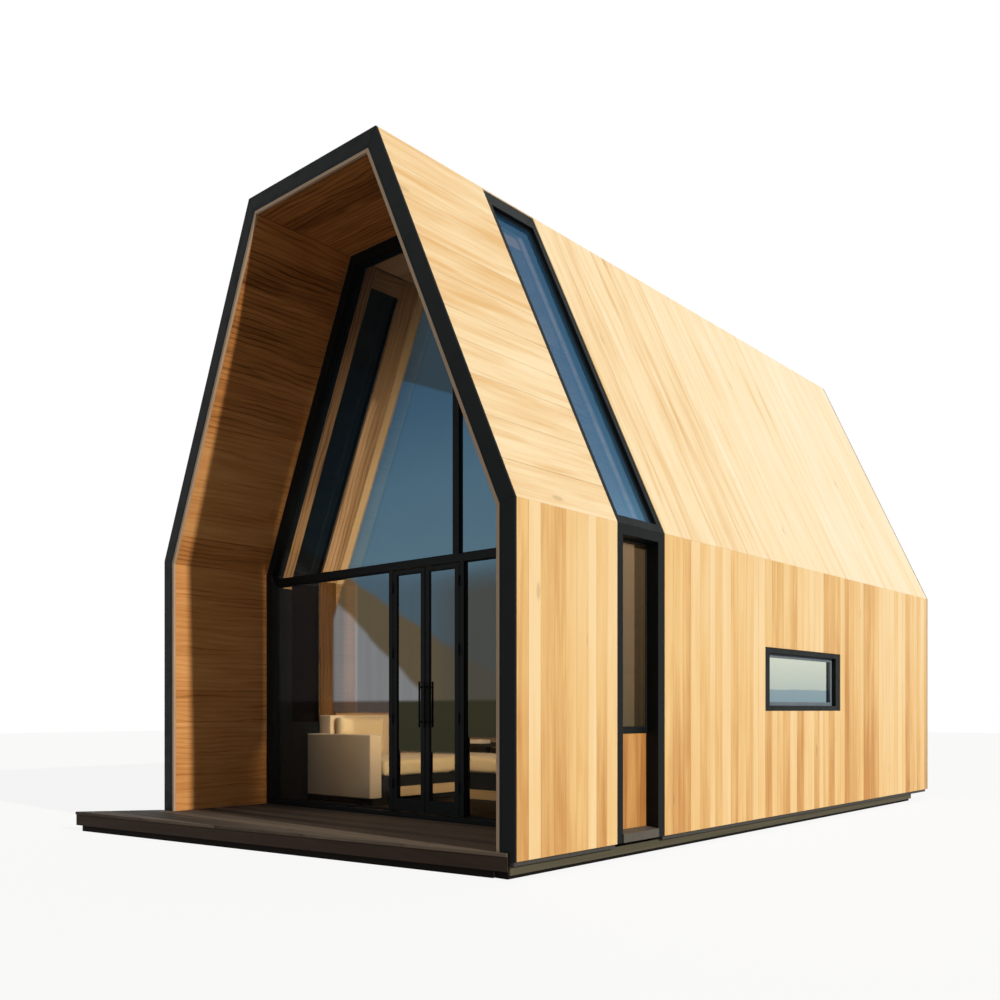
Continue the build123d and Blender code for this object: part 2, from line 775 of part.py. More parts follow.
with BuildPart() as sofa:
    with BuildSketch(Plane.XY.offset(floor_z)):
        with BuildLine():
            Polyline(
                (sofa_back_x, sofa_arm_y),
                (sofa_seat_x - sofa_base_setback, sofa_arm_y),
                (sofa_seat_x - sofa_base_setback, return_front_y + sofa_base_setback),
                (sofa_right_x - sofa_base_setback, return_front_y + sofa_base_setback),
                (sofa_right_x - sofa_base_setback, sofa_rear_y),
                (sofa_back_x, sofa_rear_y),
                close=True,
            )
        make_face()
    extrude(amount=sofa_base_height)
    back_x = (sofa_back_x, sofa_inner_x)
    pad(back_x, sofa_back_y, (seat_z, floor_z + sofa_back_height), sofa_edge_round)
    pad(back_x, sofa_ledge_y, (seat_z, seat_z + cushion_height), sofa_edge_round)
    arm_x = (sofa_back_x, sofa_back_x + sofa_arm_reach)
    pad(arm_x, (sofa_front_y, sofa_arm_y), (floor_z, floor_z + sofa_arm_height), sofa_edge_round)
    block((sofa_seat_x, sofa_right_x), board_y, (floor_z, floor_z + sofa_board_height))
finish(sofa, "sofa")


seat_cushion_z = (seat_z + cushion_lift, seat_z + cushion_height)
pillow_z = (seat_cushion_z[1] + cushion_lift, seat_cushion_z[1] + pillow_height)
pillow_start_x = sofa_inner_x + cushion_gap
pillow_start_y = sofa_arm_y + cushion_gap
return_start_x = sofa_inner_x + cushion_gap
return_pitch = (sofa_right_x - return_start_x) / return_cushion_count
return_y = (return_front_y + cushion_gap, sofa_rear_y)

with BuildPart() as sofa_cushions:
    seat_x = (pillow_start_x, sofa_seat_x)
    pad(seat_x, (pillow_start_y, return_front_y), seat_cushion_z, cushion_round)
    for index in range(return_cushion_count):
        cushion_x = return_start_x + index * return_pitch
        pad((cushion_x, cushion_x + return_pitch - cushion_gap), return_y, seat_cushion_z, cushion_round)
    pillow_x = (pillow_start_x, pillow_start_x + pillow_thickness)
    pad(pillow_x, (pillow_start_y, pillow_start_y + pillow_length), pillow_z, cushion_round)
finish(sofa_cushions, "sofa_cushions")

table_left_x = sofa_back_x + table_start
table_right_x = table_left_x + table_length
table_front_y = sofa_rear_y + table_gap
table_rear_y = table_front_y + table_depth
table_top_z = floor_z + table_height
leg_pitch_x = table_length - 2 * table_leg_inset - table_leg
leg_pitch_y = table_depth - 2 * table_leg_inset - table_leg

with BuildPart() as low_table:
    with BuildSketch(Plane.XY.offset(floor_z)):
        with Locations(((table_left_x + table_right_x) / 2, (table_front_y + table_rear_y) / 2)):
            with GridLocations(leg_pitch_x, leg_pitch_y, 2, 2):
                Rectangle(table_leg, table_leg)
    extrude(amount=table_height - table_top_thickness)
    top_span_z = (table_top_z - table_top_thickness, table_top_z)
    block((table_left_x, table_right_x), (table_front_y, table_rear_y), top_span_z)
finish(low_table, "low_table")
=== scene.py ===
"""Looks for a timber cabin: boards, dark metal, glass, deck, corner sofa, lights and camera.

Lengths are in metres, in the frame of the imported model: +X is right, +Y runs from the open front
to the closed rear and +Z is up.  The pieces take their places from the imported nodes' own boxes.
"""

import json
import logging
import math
import random
from dataclasses import dataclass, field
from enum import Enum
from typing import ClassVar, Sequence, Union

import bmesh
import bpy
from mathutils import Matrix, Vector

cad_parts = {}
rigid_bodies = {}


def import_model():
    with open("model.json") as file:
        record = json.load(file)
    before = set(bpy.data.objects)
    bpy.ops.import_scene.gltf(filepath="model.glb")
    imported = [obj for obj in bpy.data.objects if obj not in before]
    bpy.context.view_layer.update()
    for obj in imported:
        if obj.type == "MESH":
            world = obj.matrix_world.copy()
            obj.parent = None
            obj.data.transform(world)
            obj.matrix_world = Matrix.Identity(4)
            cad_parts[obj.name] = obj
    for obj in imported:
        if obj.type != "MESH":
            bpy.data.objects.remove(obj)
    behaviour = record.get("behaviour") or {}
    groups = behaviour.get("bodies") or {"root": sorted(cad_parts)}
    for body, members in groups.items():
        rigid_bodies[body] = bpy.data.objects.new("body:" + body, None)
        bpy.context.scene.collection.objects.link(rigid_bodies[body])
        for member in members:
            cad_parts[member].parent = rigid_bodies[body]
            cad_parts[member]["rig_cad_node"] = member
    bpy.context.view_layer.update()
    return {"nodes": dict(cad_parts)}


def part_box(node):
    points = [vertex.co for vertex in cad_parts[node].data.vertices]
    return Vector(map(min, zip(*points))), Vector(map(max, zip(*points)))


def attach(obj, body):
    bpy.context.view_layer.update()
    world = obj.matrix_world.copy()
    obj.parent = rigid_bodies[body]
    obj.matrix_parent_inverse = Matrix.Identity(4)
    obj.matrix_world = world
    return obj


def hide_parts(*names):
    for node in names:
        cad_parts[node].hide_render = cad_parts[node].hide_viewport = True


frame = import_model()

log = logging.getLogger("cabin")
Triple = tuple[float, float, float]
Colour = Triple
Stop = tuple[float, Colour]
Span = tuple[float, float]
Corners = tuple[Vector, Vector]
Plane = tuple[Vector, Vector]
Layers = tuple[bmesh.types.BMLayerItem, bmesh.types.BMLayerItem]
UP = Vector((0.0, 0.0, 1.0))
BACK = Vector((0.0, 1.0, 0.0))
ACROSS = Vector((1.0, 0.0, 0.0))
BLACK: Colour = (0.0, 0.0, 0.0)
WHITE: Colour = (1.0, 1.0, 1.0)


class Side(Enum):
    """Which side of the cabin a piece belongs to."""

    RIGHT = 1
    LEFT = -1


class Body(Enum):
    """The bodies that pieces ride on."""

    CABIN = "cabin"
    LEFT_LEAF = "left_leaf"
    RIGHT_LEAF = "right_leaf"


# --- shader tools ---------------------------------------------------------------------------------


class Value:
    """A number inside a shader, for use in Python expressions."""

    def __init__(self, graph: "Graph", socket: bpy.types.NodeSocket) -> None:
        """Wrap one output socket."""
        self.graph = graph
        self.socket = socket

    def _math(self, operation: str, first: "Number", second: "Number") -> "Value":
        """Add a Math node and wrap its result."""
        node = self.graph.add("ShaderNodeMath", {"operation": operation}, {0: first, 1: second})
        return Value(self.graph, node.outputs[0])

    def __add__(self, other: "Number") -> "Value":
        """Sum with another number."""
        return self._math("ADD", self, other)

    def __radd__(self, other: "Number") -> "Value":
        """Sum with a plain number on the left."""
        return self._math("ADD", other, self)

    def __sub__(self, other: "Number") -> "Value":
        """Difference from another number."""
        return self._math("SUBTRACT", self, other)

    def __rsub__(self, other: "Number") -> "Value":
        """Difference from a plain number on the left."""
        return self._math("SUBTRACT", other, self)

    def __mul__(self, other: "Number") -> "Value":
        """Product with another number."""
        return self._math("MULTIPLY", self, other)

    def __rmul__(self, other: "Number") -> "Value":
        """Product with a plain number on the left."""
        return self._math("MULTIPLY", other, self)

    def at_least(self, floor: "Number") -> "Value":
        """The larger of this number and a floor."""
        return self._math("MAXIMUM", self, floor)

    def size(self) -> "Value":
        """This number without its sign."""
        return self._math("ABSOLUTE", self, 0.0)


Number = Union[Value, float]


class Graph:
    """A node tree, with one method that adds its nodes."""

    def __init__(self, tree: bpy.types.NodeTree) -> None:
        """Wrap a node tree."""
        self.tree = tree

    def add(self, kind: str, settings: dict, sockets: dict) -> bpy.types.Node:
        """Add a node.

        Args:
            kind: The node's type name.
            settings: Its settings, with "stops" for a ramp's (place, colour) pairs.
            sockets: Values or links by socket name or number.

        Returns:
            The new node.
        """
        node = self.tree.nodes.new(kind)
        for key, setting in settings.items():
            if key == "stops":
                elements = node.color_ramp.elements
                while len(elements) < len(setting):
                    elements.new(1.0)
                for element, (place, colour) in zip(elements, setting):
                    element.position = place
                    element.color = (*colour, 1.0)
            else:
                setattr(node, key, setting)
        for key, given in sockets.items():
            self.plug(node.inputs[key], given)
        return node

    def plug(self, target: bpy.types.NodeSocket, given: object) -> None:
        """Link a socket or a value to an input, or set the input's own number or colour.

        Args:
            target: The input.
            given: A value, a socket, a colour or a number.
        """
        if isinstance(given, Value):
            given = given.socket
        if isinstance(given, bpy.types.NodeSocket):
            self.tree.links.new(given, target)
        elif isinstance(given, tuple) and target.type == "RGBA":
            target.default_value = (*given, 1.0)
        else:
            target.default_value = given

    def place(self) -> bpy.types.NodeSocket:
        """The object coordinates, in metres."""
        return self.add("ShaderNodeTexCoord", {}, {}).outputs["Object"]

    def attribute(self, name: str) -> bpy.types.Node:
        """The node that reads one of the mesh's own attributes."""
        return self.add("ShaderNodeAttribute", {"attribute_name": name}, {})

    def axes(self, vector: bpy.types.NodeSocket) -> tuple[Value, Value, Value]:
        """The three numbers of a vector."""
        node = self.add("ShaderNodeSeparateXYZ", {}, {0: vector})
        return tuple(Value(self, socket) for socket in node.outputs)

    def stretch(self, vector: bpy.types.NodeSocket, scale: Colour) -> bpy.types.NodeSocket:
        """A vector with each axis scaled."""
        settings = {"operation": "MULTIPLY"}
        return self.add("ShaderNodeVectorMath", settings, {0: vector, 1: scale}).outputs[0]

    def noise(self, vector: bpy.types.NodeSocket, scale: float, detail: float = 3.0,
              distortion: float = 0.0) -> Value:
        """Soft noise between 0 and 1.

        Args:
            vector: Where it is read.
            scale: How many of its clouds fit in a metre.
            detail: How many finer layers it has.
            distortion: How far it is bent.

        Returns:
            The noise.
        """
        sockets = {"Vector": vector, "Scale": scale, "Detail": detail, "Distortion": distortion}
        return Value(self, self.add("ShaderNodeTexNoise", {}, sockets).outputs["Fac"])

    def smooth(self, value: Value, low: float, high: float) -> Value:
        """A smooth step between two levels.

        Args:
            value: What is compared with the levels.
            low: The level up to which the step is 0.
            high: The level from which it is 1.

        Returns:
            The step.
        """
        settings = {"interpolation_type": "SMOOTHSTEP"}
        sockets = {0: value, 1: low, 2: high, 3: 0.0, 4: 1.0}
        return Value(self, self.add("ShaderNodeMapRange", settings, sockets).outputs[0])

    def edge(self, value: Value, level: float, softness: float) -> Value:
        """A smooth step about a level, which reaches its softness to each side."""
        return self.smooth(value, level - softness, level + softness)

    def ramp(self, value: Value, stops: Sequence[Stop]) -> bpy.types.NodeSocket:
        """A colour ramp."""
        return self.add("ShaderNodeValToRGB", {"stops": stops}, {0: value}).outputs[0]

    def mix(self, factor: Number, first: object, second: object) -> bpy.types.NodeSocket:
        """Mix two colours."""
        sockets = {0: factor, 6: first, 7: second}
        return self.add("ShaderNodeMix", {"data_type": "RGBA"}, sockets).outputs[2]

    def direct(self) -> Value:
        """1 for what is seen straight, mirrored or through glass, and 0 for other light."""
        seen = self.add("ShaderNodeLightPath", {}, {}).outputs
        camera = Value(self, seen["Is Camera Ray"])
        return camera.at_least(Value(self, seen["Is Glossy Ray"])).at_least(
            Value(self, seen["Is Transmission Ray"]))


class Surface(Graph):
    """One material's node tree, built from its principled shader backwards."""

    def __init__(self, name: str) -> None:
        """Make an empty node material.

        Args:
            name: The material's name.
        """
        self.material = bpy.data.materials.new(name)
        self.material.use_nodes = True
        super().__init__(self.material.node_tree)
        self.shader = self.tree.nodes["Principled BSDF"]

    def bump(self, height: Value, distance: float, strength: float) -> None:
        """Give the surface fine relief.

        Args:
            height: The relief's height.
            distance: How high it stands at most, in metres.
            strength: How much of it shows.
        """
        sockets = {"Height": height, "Distance": distance, "Strength": strength}
        node = self.add("ShaderNodeBump", {}, sockets)
        self.plug(self.shader.inputs["Normal"], node.outputs[0])

    def finish(self, **sockets: object) -> bpy.types.Material:
        """Set the principled shader's inputs.

        Args:
            sockets: Values or links by input name, with underscores for spaces.

        Returns:
            The material.
        """
        for key, given in sockets.items():
            name = key.replace("_", " ").title().replace("Ior", "IOR")
            self.plug(self.shader.inputs[name], given)
        return self.material


# --- finishes -------------------------------------------------------------------------------------


@dataclass(frozen=True)
class BoardFinish:
    """Sawn and oiled boards that follow the grain and tone stored on each board."""

    name: str
    slot: str
    dark: Colour
    middle: Colour
    pale: Colour
    tone_spread: float = 0.55
    streaks: float = 0.5
    waves: float = 0.6
    knots: float = 0.6
    figure: float = 0.0
    figure_pitch: float = 0.05
    drift: tuple[int, float, float, float] = (2, 0.0, 1.0, 0.0)
    roughness: float = 0.58
    relief: float = 0.0012
    gloss: float = 0.4

    # How closely each pattern repeats: across the board, through it and along its grain.
    FLOW: ClassVar[Triple] = (11.0, 11.0, 0.7)
    RINGS: ClassVar[Triple] = (46.0, 46.0, 1.3)
    FIBRE: ClassVar[Triple] = (240.0, 240.0, 7.0)
    CLOUD: ClassVar[Triple] = (2.4, 2.4, 0.9)
    KNOTS: ClassVar[Triple] = (3.1, 3.1, 1.1)
    PATCHES: ClassVar[Triple] = (3.2, 3.2, 1.0)
    FIGURE: ClassVar[Triple] = (1.0, 1.0, 0.30)
    FIGURE_BANDS: ClassVar[float] = 0.314
    # The levels between which each pattern's edge fades.
    KNOT_RIM: ClassVar[Span] = (0.035, 0.10)
    PATCH_RIM: ClassVar[Span] = (0.32, 0.62)
    FIGURE_LINE: ClassVar[Span] = (0.62, 0.99)
    # How much each pattern adds to the shade, and where the three colours lie in it.
    RING_SHARE: ClassVar[float] = 0.55
    FIBRE_SHARE: ClassVar[float] = 0.12
    CLOUD_SHARE: ClassVar[float] = 0.35
    SHADES: ClassVar[Triple] = (0.12, 0.46, 0.84)
    STAIN: ClassVar[float] = 0.45
    RING_RELIEF: ClassVar[float] = 0.6
    FIBRE_RELIEF: ClassVar[float] = 0.4
    FIBRE_ROUGHNESS: ClassVar[float] = 0.2

    def material(self) -> bpy.types.Material:
        """Build the material."""
        graph = Surface(self.name)
        grain = graph.attribute("grain").outputs["Vector"]
        tone = Value(graph, graph.attribute("tone").outputs["Fac"])
        flow = graph.noise(graph.stretch(grain, self.FLOW), 1.0, 5.0, self.waves)
        rings = graph.noise(graph.stretch(grain, self.RINGS), 1.0, 4.0, self.waves)
        fibre = graph.noise(graph.stretch(grain, self.FIBRE), 1.0, 2.0)
        cloud = graph.noise(graph.stretch(grain, self.CLOUD), 1.0, 2.0)
        cells = graph.add("ShaderNodeTexVoronoi", {}, {
            "Vector": graph.stretch(grain, self.KNOTS), "Scale": 1.0})
        knot = 1.0 - graph.smooth(Value(graph, cells.outputs["Distance"]), *self.KNOT_RIM)
        shade = 0.5 + (tone - 0.5) * self.tone_spread + (flow - 0.5) * self.streaks
        shade = shade + (rings - 0.5) * (self.RING_SHARE * self.streaks)
        shade = shade + (fibre - 0.5) * self.FIBRE_SHARE + (cloud - 0.5) * self.CLOUD_SHARE
        # The drift lightens or darkens the boards along one axis; on the porch lining and the deck
        # it is painted shade.
        axis, start, end, amount = self.drift
        if amount:
            far = graph.axes(graph.place())[axis]
            shade = shade + (graph.smooth(far, start, end) - 0.5) * amount
        if self.figure:
            shade = shade - self.lines(graph, grain) * self.figure
        colours = (self.dark, self.middle, self.pale)
        colour = graph.ramp(shade, tuple(zip(self.SHADES, colours)))
        stain = tuple(part * self.STAIN for part in self.dark)
        colour = graph.mix(knot * self.knots, colour, stain)
        relief = rings * self.RING_RELIEF + fibre * self.FIBRE_RELIEF
        graph.bump(relief, self.relief, 0.5)
        rough = self.roughness + (fibre - 0.5) * self.FIBRE_ROUGHNESS
        return graph.finish(base_color=colour, roughness=rough, specular_ior_level=self.gloss)

    def lines(self, graph: Graph, grain: bpy.types.NodeSocket) -> Value:
        """Thin wavy lines along the grain, which come and go.

        Args:
            graph: The material's graph.
            grain: The grain stored on the boards.

        Returns:
            1 on the lines and 0 between them.
        """
        bands = graph.add("ShaderNodeTexWave", {"bands_direction": "X"}, {
            "Vector": graph.stretch(grain, self.FIGURE),
            "Scale": self.FIGURE_BANDS / self.figure_pitch,
            "Distortion": 9.0, "Detail": 2.5, "Detail Scale": 0.55})
        thin = graph.smooth(Value(graph, bands.outputs["Fac"]), *self.FIGURE_LINE)
        patches = graph.noise(graph.stretch(grain, self.PATCHES), 1.0, 2.0)
        return thin * graph.smooth(patches, *self.PATCH_RIM)


@dataclass(frozen=True)
class MetalFinish:
    """Powder-coated sheet metal with faint orange peel and rubbed patches."""

    name: str
    slot: str
    colour: Colour
    rubbed: Colour
    roughness: float = 0.46
    gloss: float = 0.08

    # How many of each pattern's clouds fit in a metre, and where the dust's edge fades.
    PATCHES: ClassVar[float] = 1.7
    PEEL: ClassVar[float] = 420.0
    DUST: ClassVar[float] = 9.0
    DUST_RIM: ClassVar[Span] = (0.45, 0.8)
    PEEL_RELIEF: ClassVar[float] = 0.0004
    # How far the rubbed patches and the dust change the colour and the roughness.
    PATCH_SHARE: ClassVar[float] = 0.7
    DUST_SHARE: ClassVar[float] = 0.35
    DUST_ROUGHNESS: ClassVar[float] = 0.16
    PATCH_ROUGHNESS: ClassVar[float] = 0.12

    def material(self) -> bpy.types.Material:
        """Build the material."""
        graph = Surface(self.name)
        place = graph.place()
        patches = graph.noise(place, self.PATCHES, 4.0, 0.4)
        peel = graph.noise(place, self.PEEL, 1.0)
        dust = graph.smooth(graph.noise(place, self.DUST, 5.0), *self.DUST_RIM)
        worn = patches * self.PATCH_SHARE + dust * self.DUST_SHARE
        colour = graph.mix(worn, self.colour, self.rubbed)
        graph.bump(peel, self.PEEL_RELIEF, 0.3)
        rough = self.roughness + dust * self.DUST_ROUGHNESS
        rough = rough + (patches - 0.5) * self.PATCH_ROUGHNESS
        return graph.finish(base_color=colour, roughness=rough, specular_ior_level=self.gloss)


@dataclass(frozen=True)
class GlassFinish:
    """Coated glass: a mirror with a painted reflection by height, a faint smear and an uneven
    cover.
    """

    name: str
    slot: str
    levels: tuple[Stop, ...]
    low: float
    high: float
    veil: float
    edge_tint: Colour = (0.35, 0.60, 0.85)
    open_cover: float = 0.0
    inner_face: float = 0.0
    inner_painted_shade: Colour = (0.012, 0.010, 0.008)

    # How closely the smear and the painted reflection's drift repeat along each axis.
    SMEAR: ClassVar[Triple] = (5.0, 5.0, 1.2)
    DRIFT: ClassVar[Triple] = (0.7, 0.7, 0.45)
    DRIFT_SHARE: ClassVar[float] = 0.10
    POLISH: ClassVar[float] = 0.03
    SMEAR_ROUGHNESS: ClassVar[float] = 0.05
    SMEAR_COVER: ClassVar[float] = 0.03
    # How many clouds of uneven cover fit in a metre, and how far they change it.
    CLOUDS: ClassVar[float] = 0.8
    CLOUD_COVER: ClassVar[float] = 0.02
    LEAST_MIRROR: ClassVar[float] = 0.5
    MIDDLE: ClassVar[float] = 0.1
    FACE_EDGE: ClassVar[float] = 0.001

    def material(self) -> bpy.types.Material:
        """Build the material."""
        graph = Surface(self.name)
        place = graph.place()
        smear = graph.noise(graph.stretch(place, self.SMEAR), 1.0, 4.0)
        cover = self.cover(graph, place)
        rough = self.POLISH + smear * self.SMEAR_ROUGHNESS
        colour = self.painted_reflection(graph, place)
        # On the opened side the painted reflection is brightened to make up for the thinner cover.
        if self.open_cover:
            right = graph.edge(graph.axes(place)[0], 0.0, self.MIDDLE)
            cover = cover - right * (self.veil - self.open_cover)
            gain = 1.0 + right * (self.veil / self.open_cover - 1.0)
            colour = graph.add("ShaderNodeVectorMath", {"operation": "SCALE"}, {
                0: colour, "Scale": gain}).outputs[0]
        # The room-side face is painted near-black: painted shade.
        if self.inner_face:
            depth = graph.axes(place)[0].size()
            outer = graph.edge(depth, self.inner_face, self.FACE_EDGE)
            colour = graph.mix(outer, self.inner_painted_shade, colour)
        self.extra(graph, place, colour)
        alpha = cover + (smear - 0.5) * self.SMEAR_COVER
        return graph.finish(base_color=colour, roughness=rough, alpha=alpha,
                            metallic=cover.at_least(self.LEAST_MIRROR),
                            specular_tint=self.edge_tint)

    def extra(self, graph: Surface, place: bpy.types.NodeSocket,
              colour: bpy.types.NodeSocket) -> None:
        """Add nothing more to plain coated glass."""

    def painted_reflection(self, graph: Graph, place: bpy.types.NodeSocket) -> bpy.types.NodeSocket:
        """The painted reflection: a colour ramp by height for what the mirror shows.

        Args:
            graph: The material's graph.
            place: The object coordinates.

        Returns:
            The colour.
        """
        height = graph.axes(place)[2]
        drift = graph.noise(graph.stretch(place, self.DRIFT), 1.0, 3.0, 0.8)
        level = (height - self.low) * (1.0 / (self.high - self.low))
        return graph.ramp(level + (drift - 0.5) * self.DRIFT_SHARE, self.levels)

    def cover(self, graph: Graph, place: bpy.types.NodeSocket) -> Value:
        """How much of the light the coating keeps out, which sets the glass's alpha."""
        return self.veil + (graph.noise(place, self.CLOUDS, 2.0) - 0.5) * self.CLOUD_COVER


@dataclass(frozen=True)
class FrontGlassFinish(GlassFinish):
    """Front glass, clear near its foot and left side, with a painted reflection in soft bands in
    its lower lights.
    """

    # These colours are painted reflection: a brown band, a pale band, dusk streaks, olive and umber
    # at the foot, and a dark peak.
    band: Colour = (0.120, 0.088, 0.045)
    pale: Colour = (0.235, 0.238, 0.246)
    dusk: Colour = (0.066, 0.064, 0.052)
    clear: float = 0.10
    clear_below: float = 1.165
    door_step: tuple[float, float] = (-0.225, 0.365)
    side_step: tuple[float, float] = (0.70, 0.15)
    olive_below: float = 1.276
    olive: Colour = (0.034, 0.032, 0.015)
    umber: Colour = (0.075, 0.056, 0.044)
    clear_left: float = -1.11
    knee: float = 2.10
    lean: float = 0.465
    band_top: tuple[float, float] = (2.05, 0.52)
    band_foot: tuple[float, float] = (1.49, 0.74)
    dusk_span: Span = (0.15, 0.85)
    peak: tuple[float, float] = (4.257, 0.405)
    peak_shade: Colour = (0.034, 0.054, 0.068)
    painted_glow_edge: Triple = (-0.742, 2.444, 0.46)
    painted_glow: float = 0.80

    WOBBLE: ClassVar[Triple] = (2.0, 2.0, 2.0)
    STREAK: ClassVar[Triple] = (16.0, 16.0, 0.6)
    # The heights between which the lower lights end, and where umber turns to olive.
    LOW_LIGHTS: ClassVar[Span] = (2.2, 2.5)
    UMBER_STEP: ClassVar[Span] = (-0.3, -0.15)
    WOBBLE_SHARE: ClassVar[float] = 0.10
    DUSK_SHARE: ClassVar[float] = 0.85
    STREAK_SHARE: ClassVar[float] = 0.35
    # How far to each side the edges of the bands, the clear parts and the peak fade.
    BAND_EDGE: ClassVar[float] = 0.04
    LEFT_EDGE: ClassVar[float] = 0.03
    FOOT_EDGE: ClassVar[float] = 0.02
    PEAK_EDGE: ClassVar[float] = 0.015

    def painted_reflection(self, graph: Graph, place: bpy.types.NodeSocket) -> bpy.types.NodeSocket:
        """The painted reflection: cool above, and slanting bands in the lower lights.

        Args:
            graph: The material's graph.
            place: The object coordinates.

        Returns:
            The colour.
        """
        across, _, height = graph.axes(place)
        waves = graph.noise(graph.stretch(place, self.WOBBLE), 1.0, 2.0)
        wobble = (waves - 0.5) * self.WOBBLE_SHARE
        streak = graph.noise(graph.stretch(place, self.STREAK), 1.0, 3.0)
        upper = height + wobble + across * self.band_top[1] - self.band_top[0]
        lower = height + wobble + across * self.band_foot[1] - self.band_foot[0]
        under_top = 1.0 - graph.edge(upper, 0.0, self.BAND_EDGE)
        under_foot = 1.0 - graph.edge(lower, 0.0, self.BAND_EDGE)
        over_peak = height + across * self.peak[1] - self.peak[0]
        peak = graph.edge(over_peak, 0.0, self.PEAK_EDGE)
        colour = graph.mix(peak, super().painted_reflection(graph, place), self.peak_shade)
        colour = graph.mix(under_top, colour, self.band)
        colour = graph.mix(under_foot, colour, self.pale)
        side = graph.smooth(across, *self.dusk_span)
        low_lights = 1.0 - graph.smooth(height, *self.LOW_LIGHTS)
        colour = graph.mix(side * low_lights * self.DUSK_SHARE, colour, self.dusk)
        colour = graph.mix(low_lights * streak * self.STREAK_SHARE, colour, self.dusk)
        foot = 1.0 - graph.edge(height, self.olive_below, self.FOOT_EDGE)
        shade = graph.mix(graph.smooth(across, *self.UMBER_STEP), self.umber, self.olive)
        return graph.mix(foot, colour, shade)

    def extra(self, graph: Surface, place: bpy.types.NodeSocket,
              colour: bpy.types.NodeSocket) -> None:
        """Lift the coating's left margin, which mirrors the dark porch, with a faint painted glow.

        Args:
            graph: The material's graph.
            place: The object coordinates.
            colour: The coating's colour.
        """
        across, _, height = graph.axes(place)
        start, knee, lean = self.painted_glow_edge
        inner = across - start - (height - knee).at_least(0.0) * lean
        painted_glow = self.cover(graph, place) * (1.0 - graph.edge(inner, 0.0, self.FOOT_EDGE))
        # Emission makes the glass glow here: painted light.
        glow = graph.mix(painted_glow * self.painted_glow, BLACK, colour)
        graph.finish(emission_color=glow, emission_strength=1.0)

    def cover(self, graph: Graph, place: bpy.types.NodeSocket) -> Value:
        """The coating's cover: almost none below a line and left of another.

        Args:
            graph: The material's graph.
            place: The object coordinates.

        Returns:
            How much of the light the coating keeps out.
        """
        across, _, height = graph.axes(place)
        edge = across - self.clear_left - (height - self.knee).at_least(0.0) * self.lean
        cover = graph.edge(edge, 0.0, self.LEFT_EDGE)
        (door, drop), (side, rise) = self.door_step, self.side_step
        foot = height + graph.edge(across, door, self.FOOT_EDGE) * drop
        foot = foot - graph.edge(across, side, self.FOOT_EDGE) * rise
        cover = cover * graph.edge(foot, self.clear_below, self.FOOT_EDGE)
        return self.clear + cover * (self.veil - self.clear)


@dataclass(frozen=True)
class ClothFinish:
    """Woven upholstery with a visible plain weave and slubs."""

    name: str
    slot: str
    colour: Colour
    light: Colour
    threads: float = 260.0
    sheen: float = 0.25
    roughness: float = 0.86

    # How closely the slubs repeat along each axis, and the worn patches in a metre.
    SLUBS: ClassVar[Triple] = (60.0, 60.0, 14.0)
    WEAR: ClassVar[float] = 3.5
    WEAVE_RELIEF: ClassVar[float] = 0.0015
    # How far the weave, the slubs and the wear lighten the cloth.
    WEAVE_SHARE: ClassVar[float] = 0.35
    SLUB_SHARE: ClassVar[float] = 0.4
    WEAR_SHARE: ClassVar[float] = 0.35
    SLUB_ROUGHNESS: ClassVar[float] = 0.15

    def material(self) -> bpy.types.Material:
        """Build the material."""
        graph = Surface(self.name)
        place = graph.place()
        threads = [Value(graph, graph.add("ShaderNodeTexWave", {"bands_direction": axis}, {
            "Vector": place, "Scale": self.threads, "Distortion": 1.5, "Detail": 1.0,
        }).outputs["Fac"]) for axis in ("X", "Y", "Z")]
        weave = (threads[0] + threads[1] + threads[2]) * 0.333
        slubs = graph.noise(graph.stretch(place, self.SLUBS), 1.0, 3.0)
        wear = graph.noise(place, self.WEAR, 4.0)
        shade = weave * self.WEAVE_SHARE + slubs * self.SLUB_SHARE + wear * self.WEAR_SHARE
        colour = graph.mix(shade, self.colour, self.light)
        graph.bump(weave * 0.7 + slubs * 0.3, self.WEAVE_RELIEF, 0.6)
        rough = self.roughness + (slubs - 0.5) * self.SLUB_ROUGHNESS
        return graph.finish(base_color=colour, roughness=rough, sheen_weight=self.sheen)


@dataclass(frozen=True)
class PanelFinish:
    """Dark coated edges of the structural panels behind the boards."""

    name: str
    slot: str
    colour: Colour
    light: Colour
    roughness: float = 0.7

    FLAKES: ClassVar[Triple] = (30.0, 30.0, 55.0)
    FLAKE_RIM: ClassVar[Span] = (0.3, 0.75)
    FLAKE_RELIEF: ClassVar[float] = 0.0015
    FLAKE_ROUGHNESS: ClassVar[float] = 0.2

    def material(self) -> bpy.types.Material:
        """Build the material."""
        graph = Surface(self.name)
        place = graph.place()
        flakes = graph.noise(graph.stretch(place, self.FLAKES), 1.0, 4.0)
        colour = graph.mix(graph.smooth(flakes, *self.FLAKE_RIM), self.colour, self.light)
        graph.bump(flakes, self.FLAKE_RELIEF, 0.4)
        rough = self.roughness + (flakes - 0.5) * self.FLAKE_ROUGHNESS
        return graph.finish(base_color=colour, roughness=rough)


Finish = Union[BoardFinish, MetalFinish, GlassFinish, ClothFinish, PanelFinish]


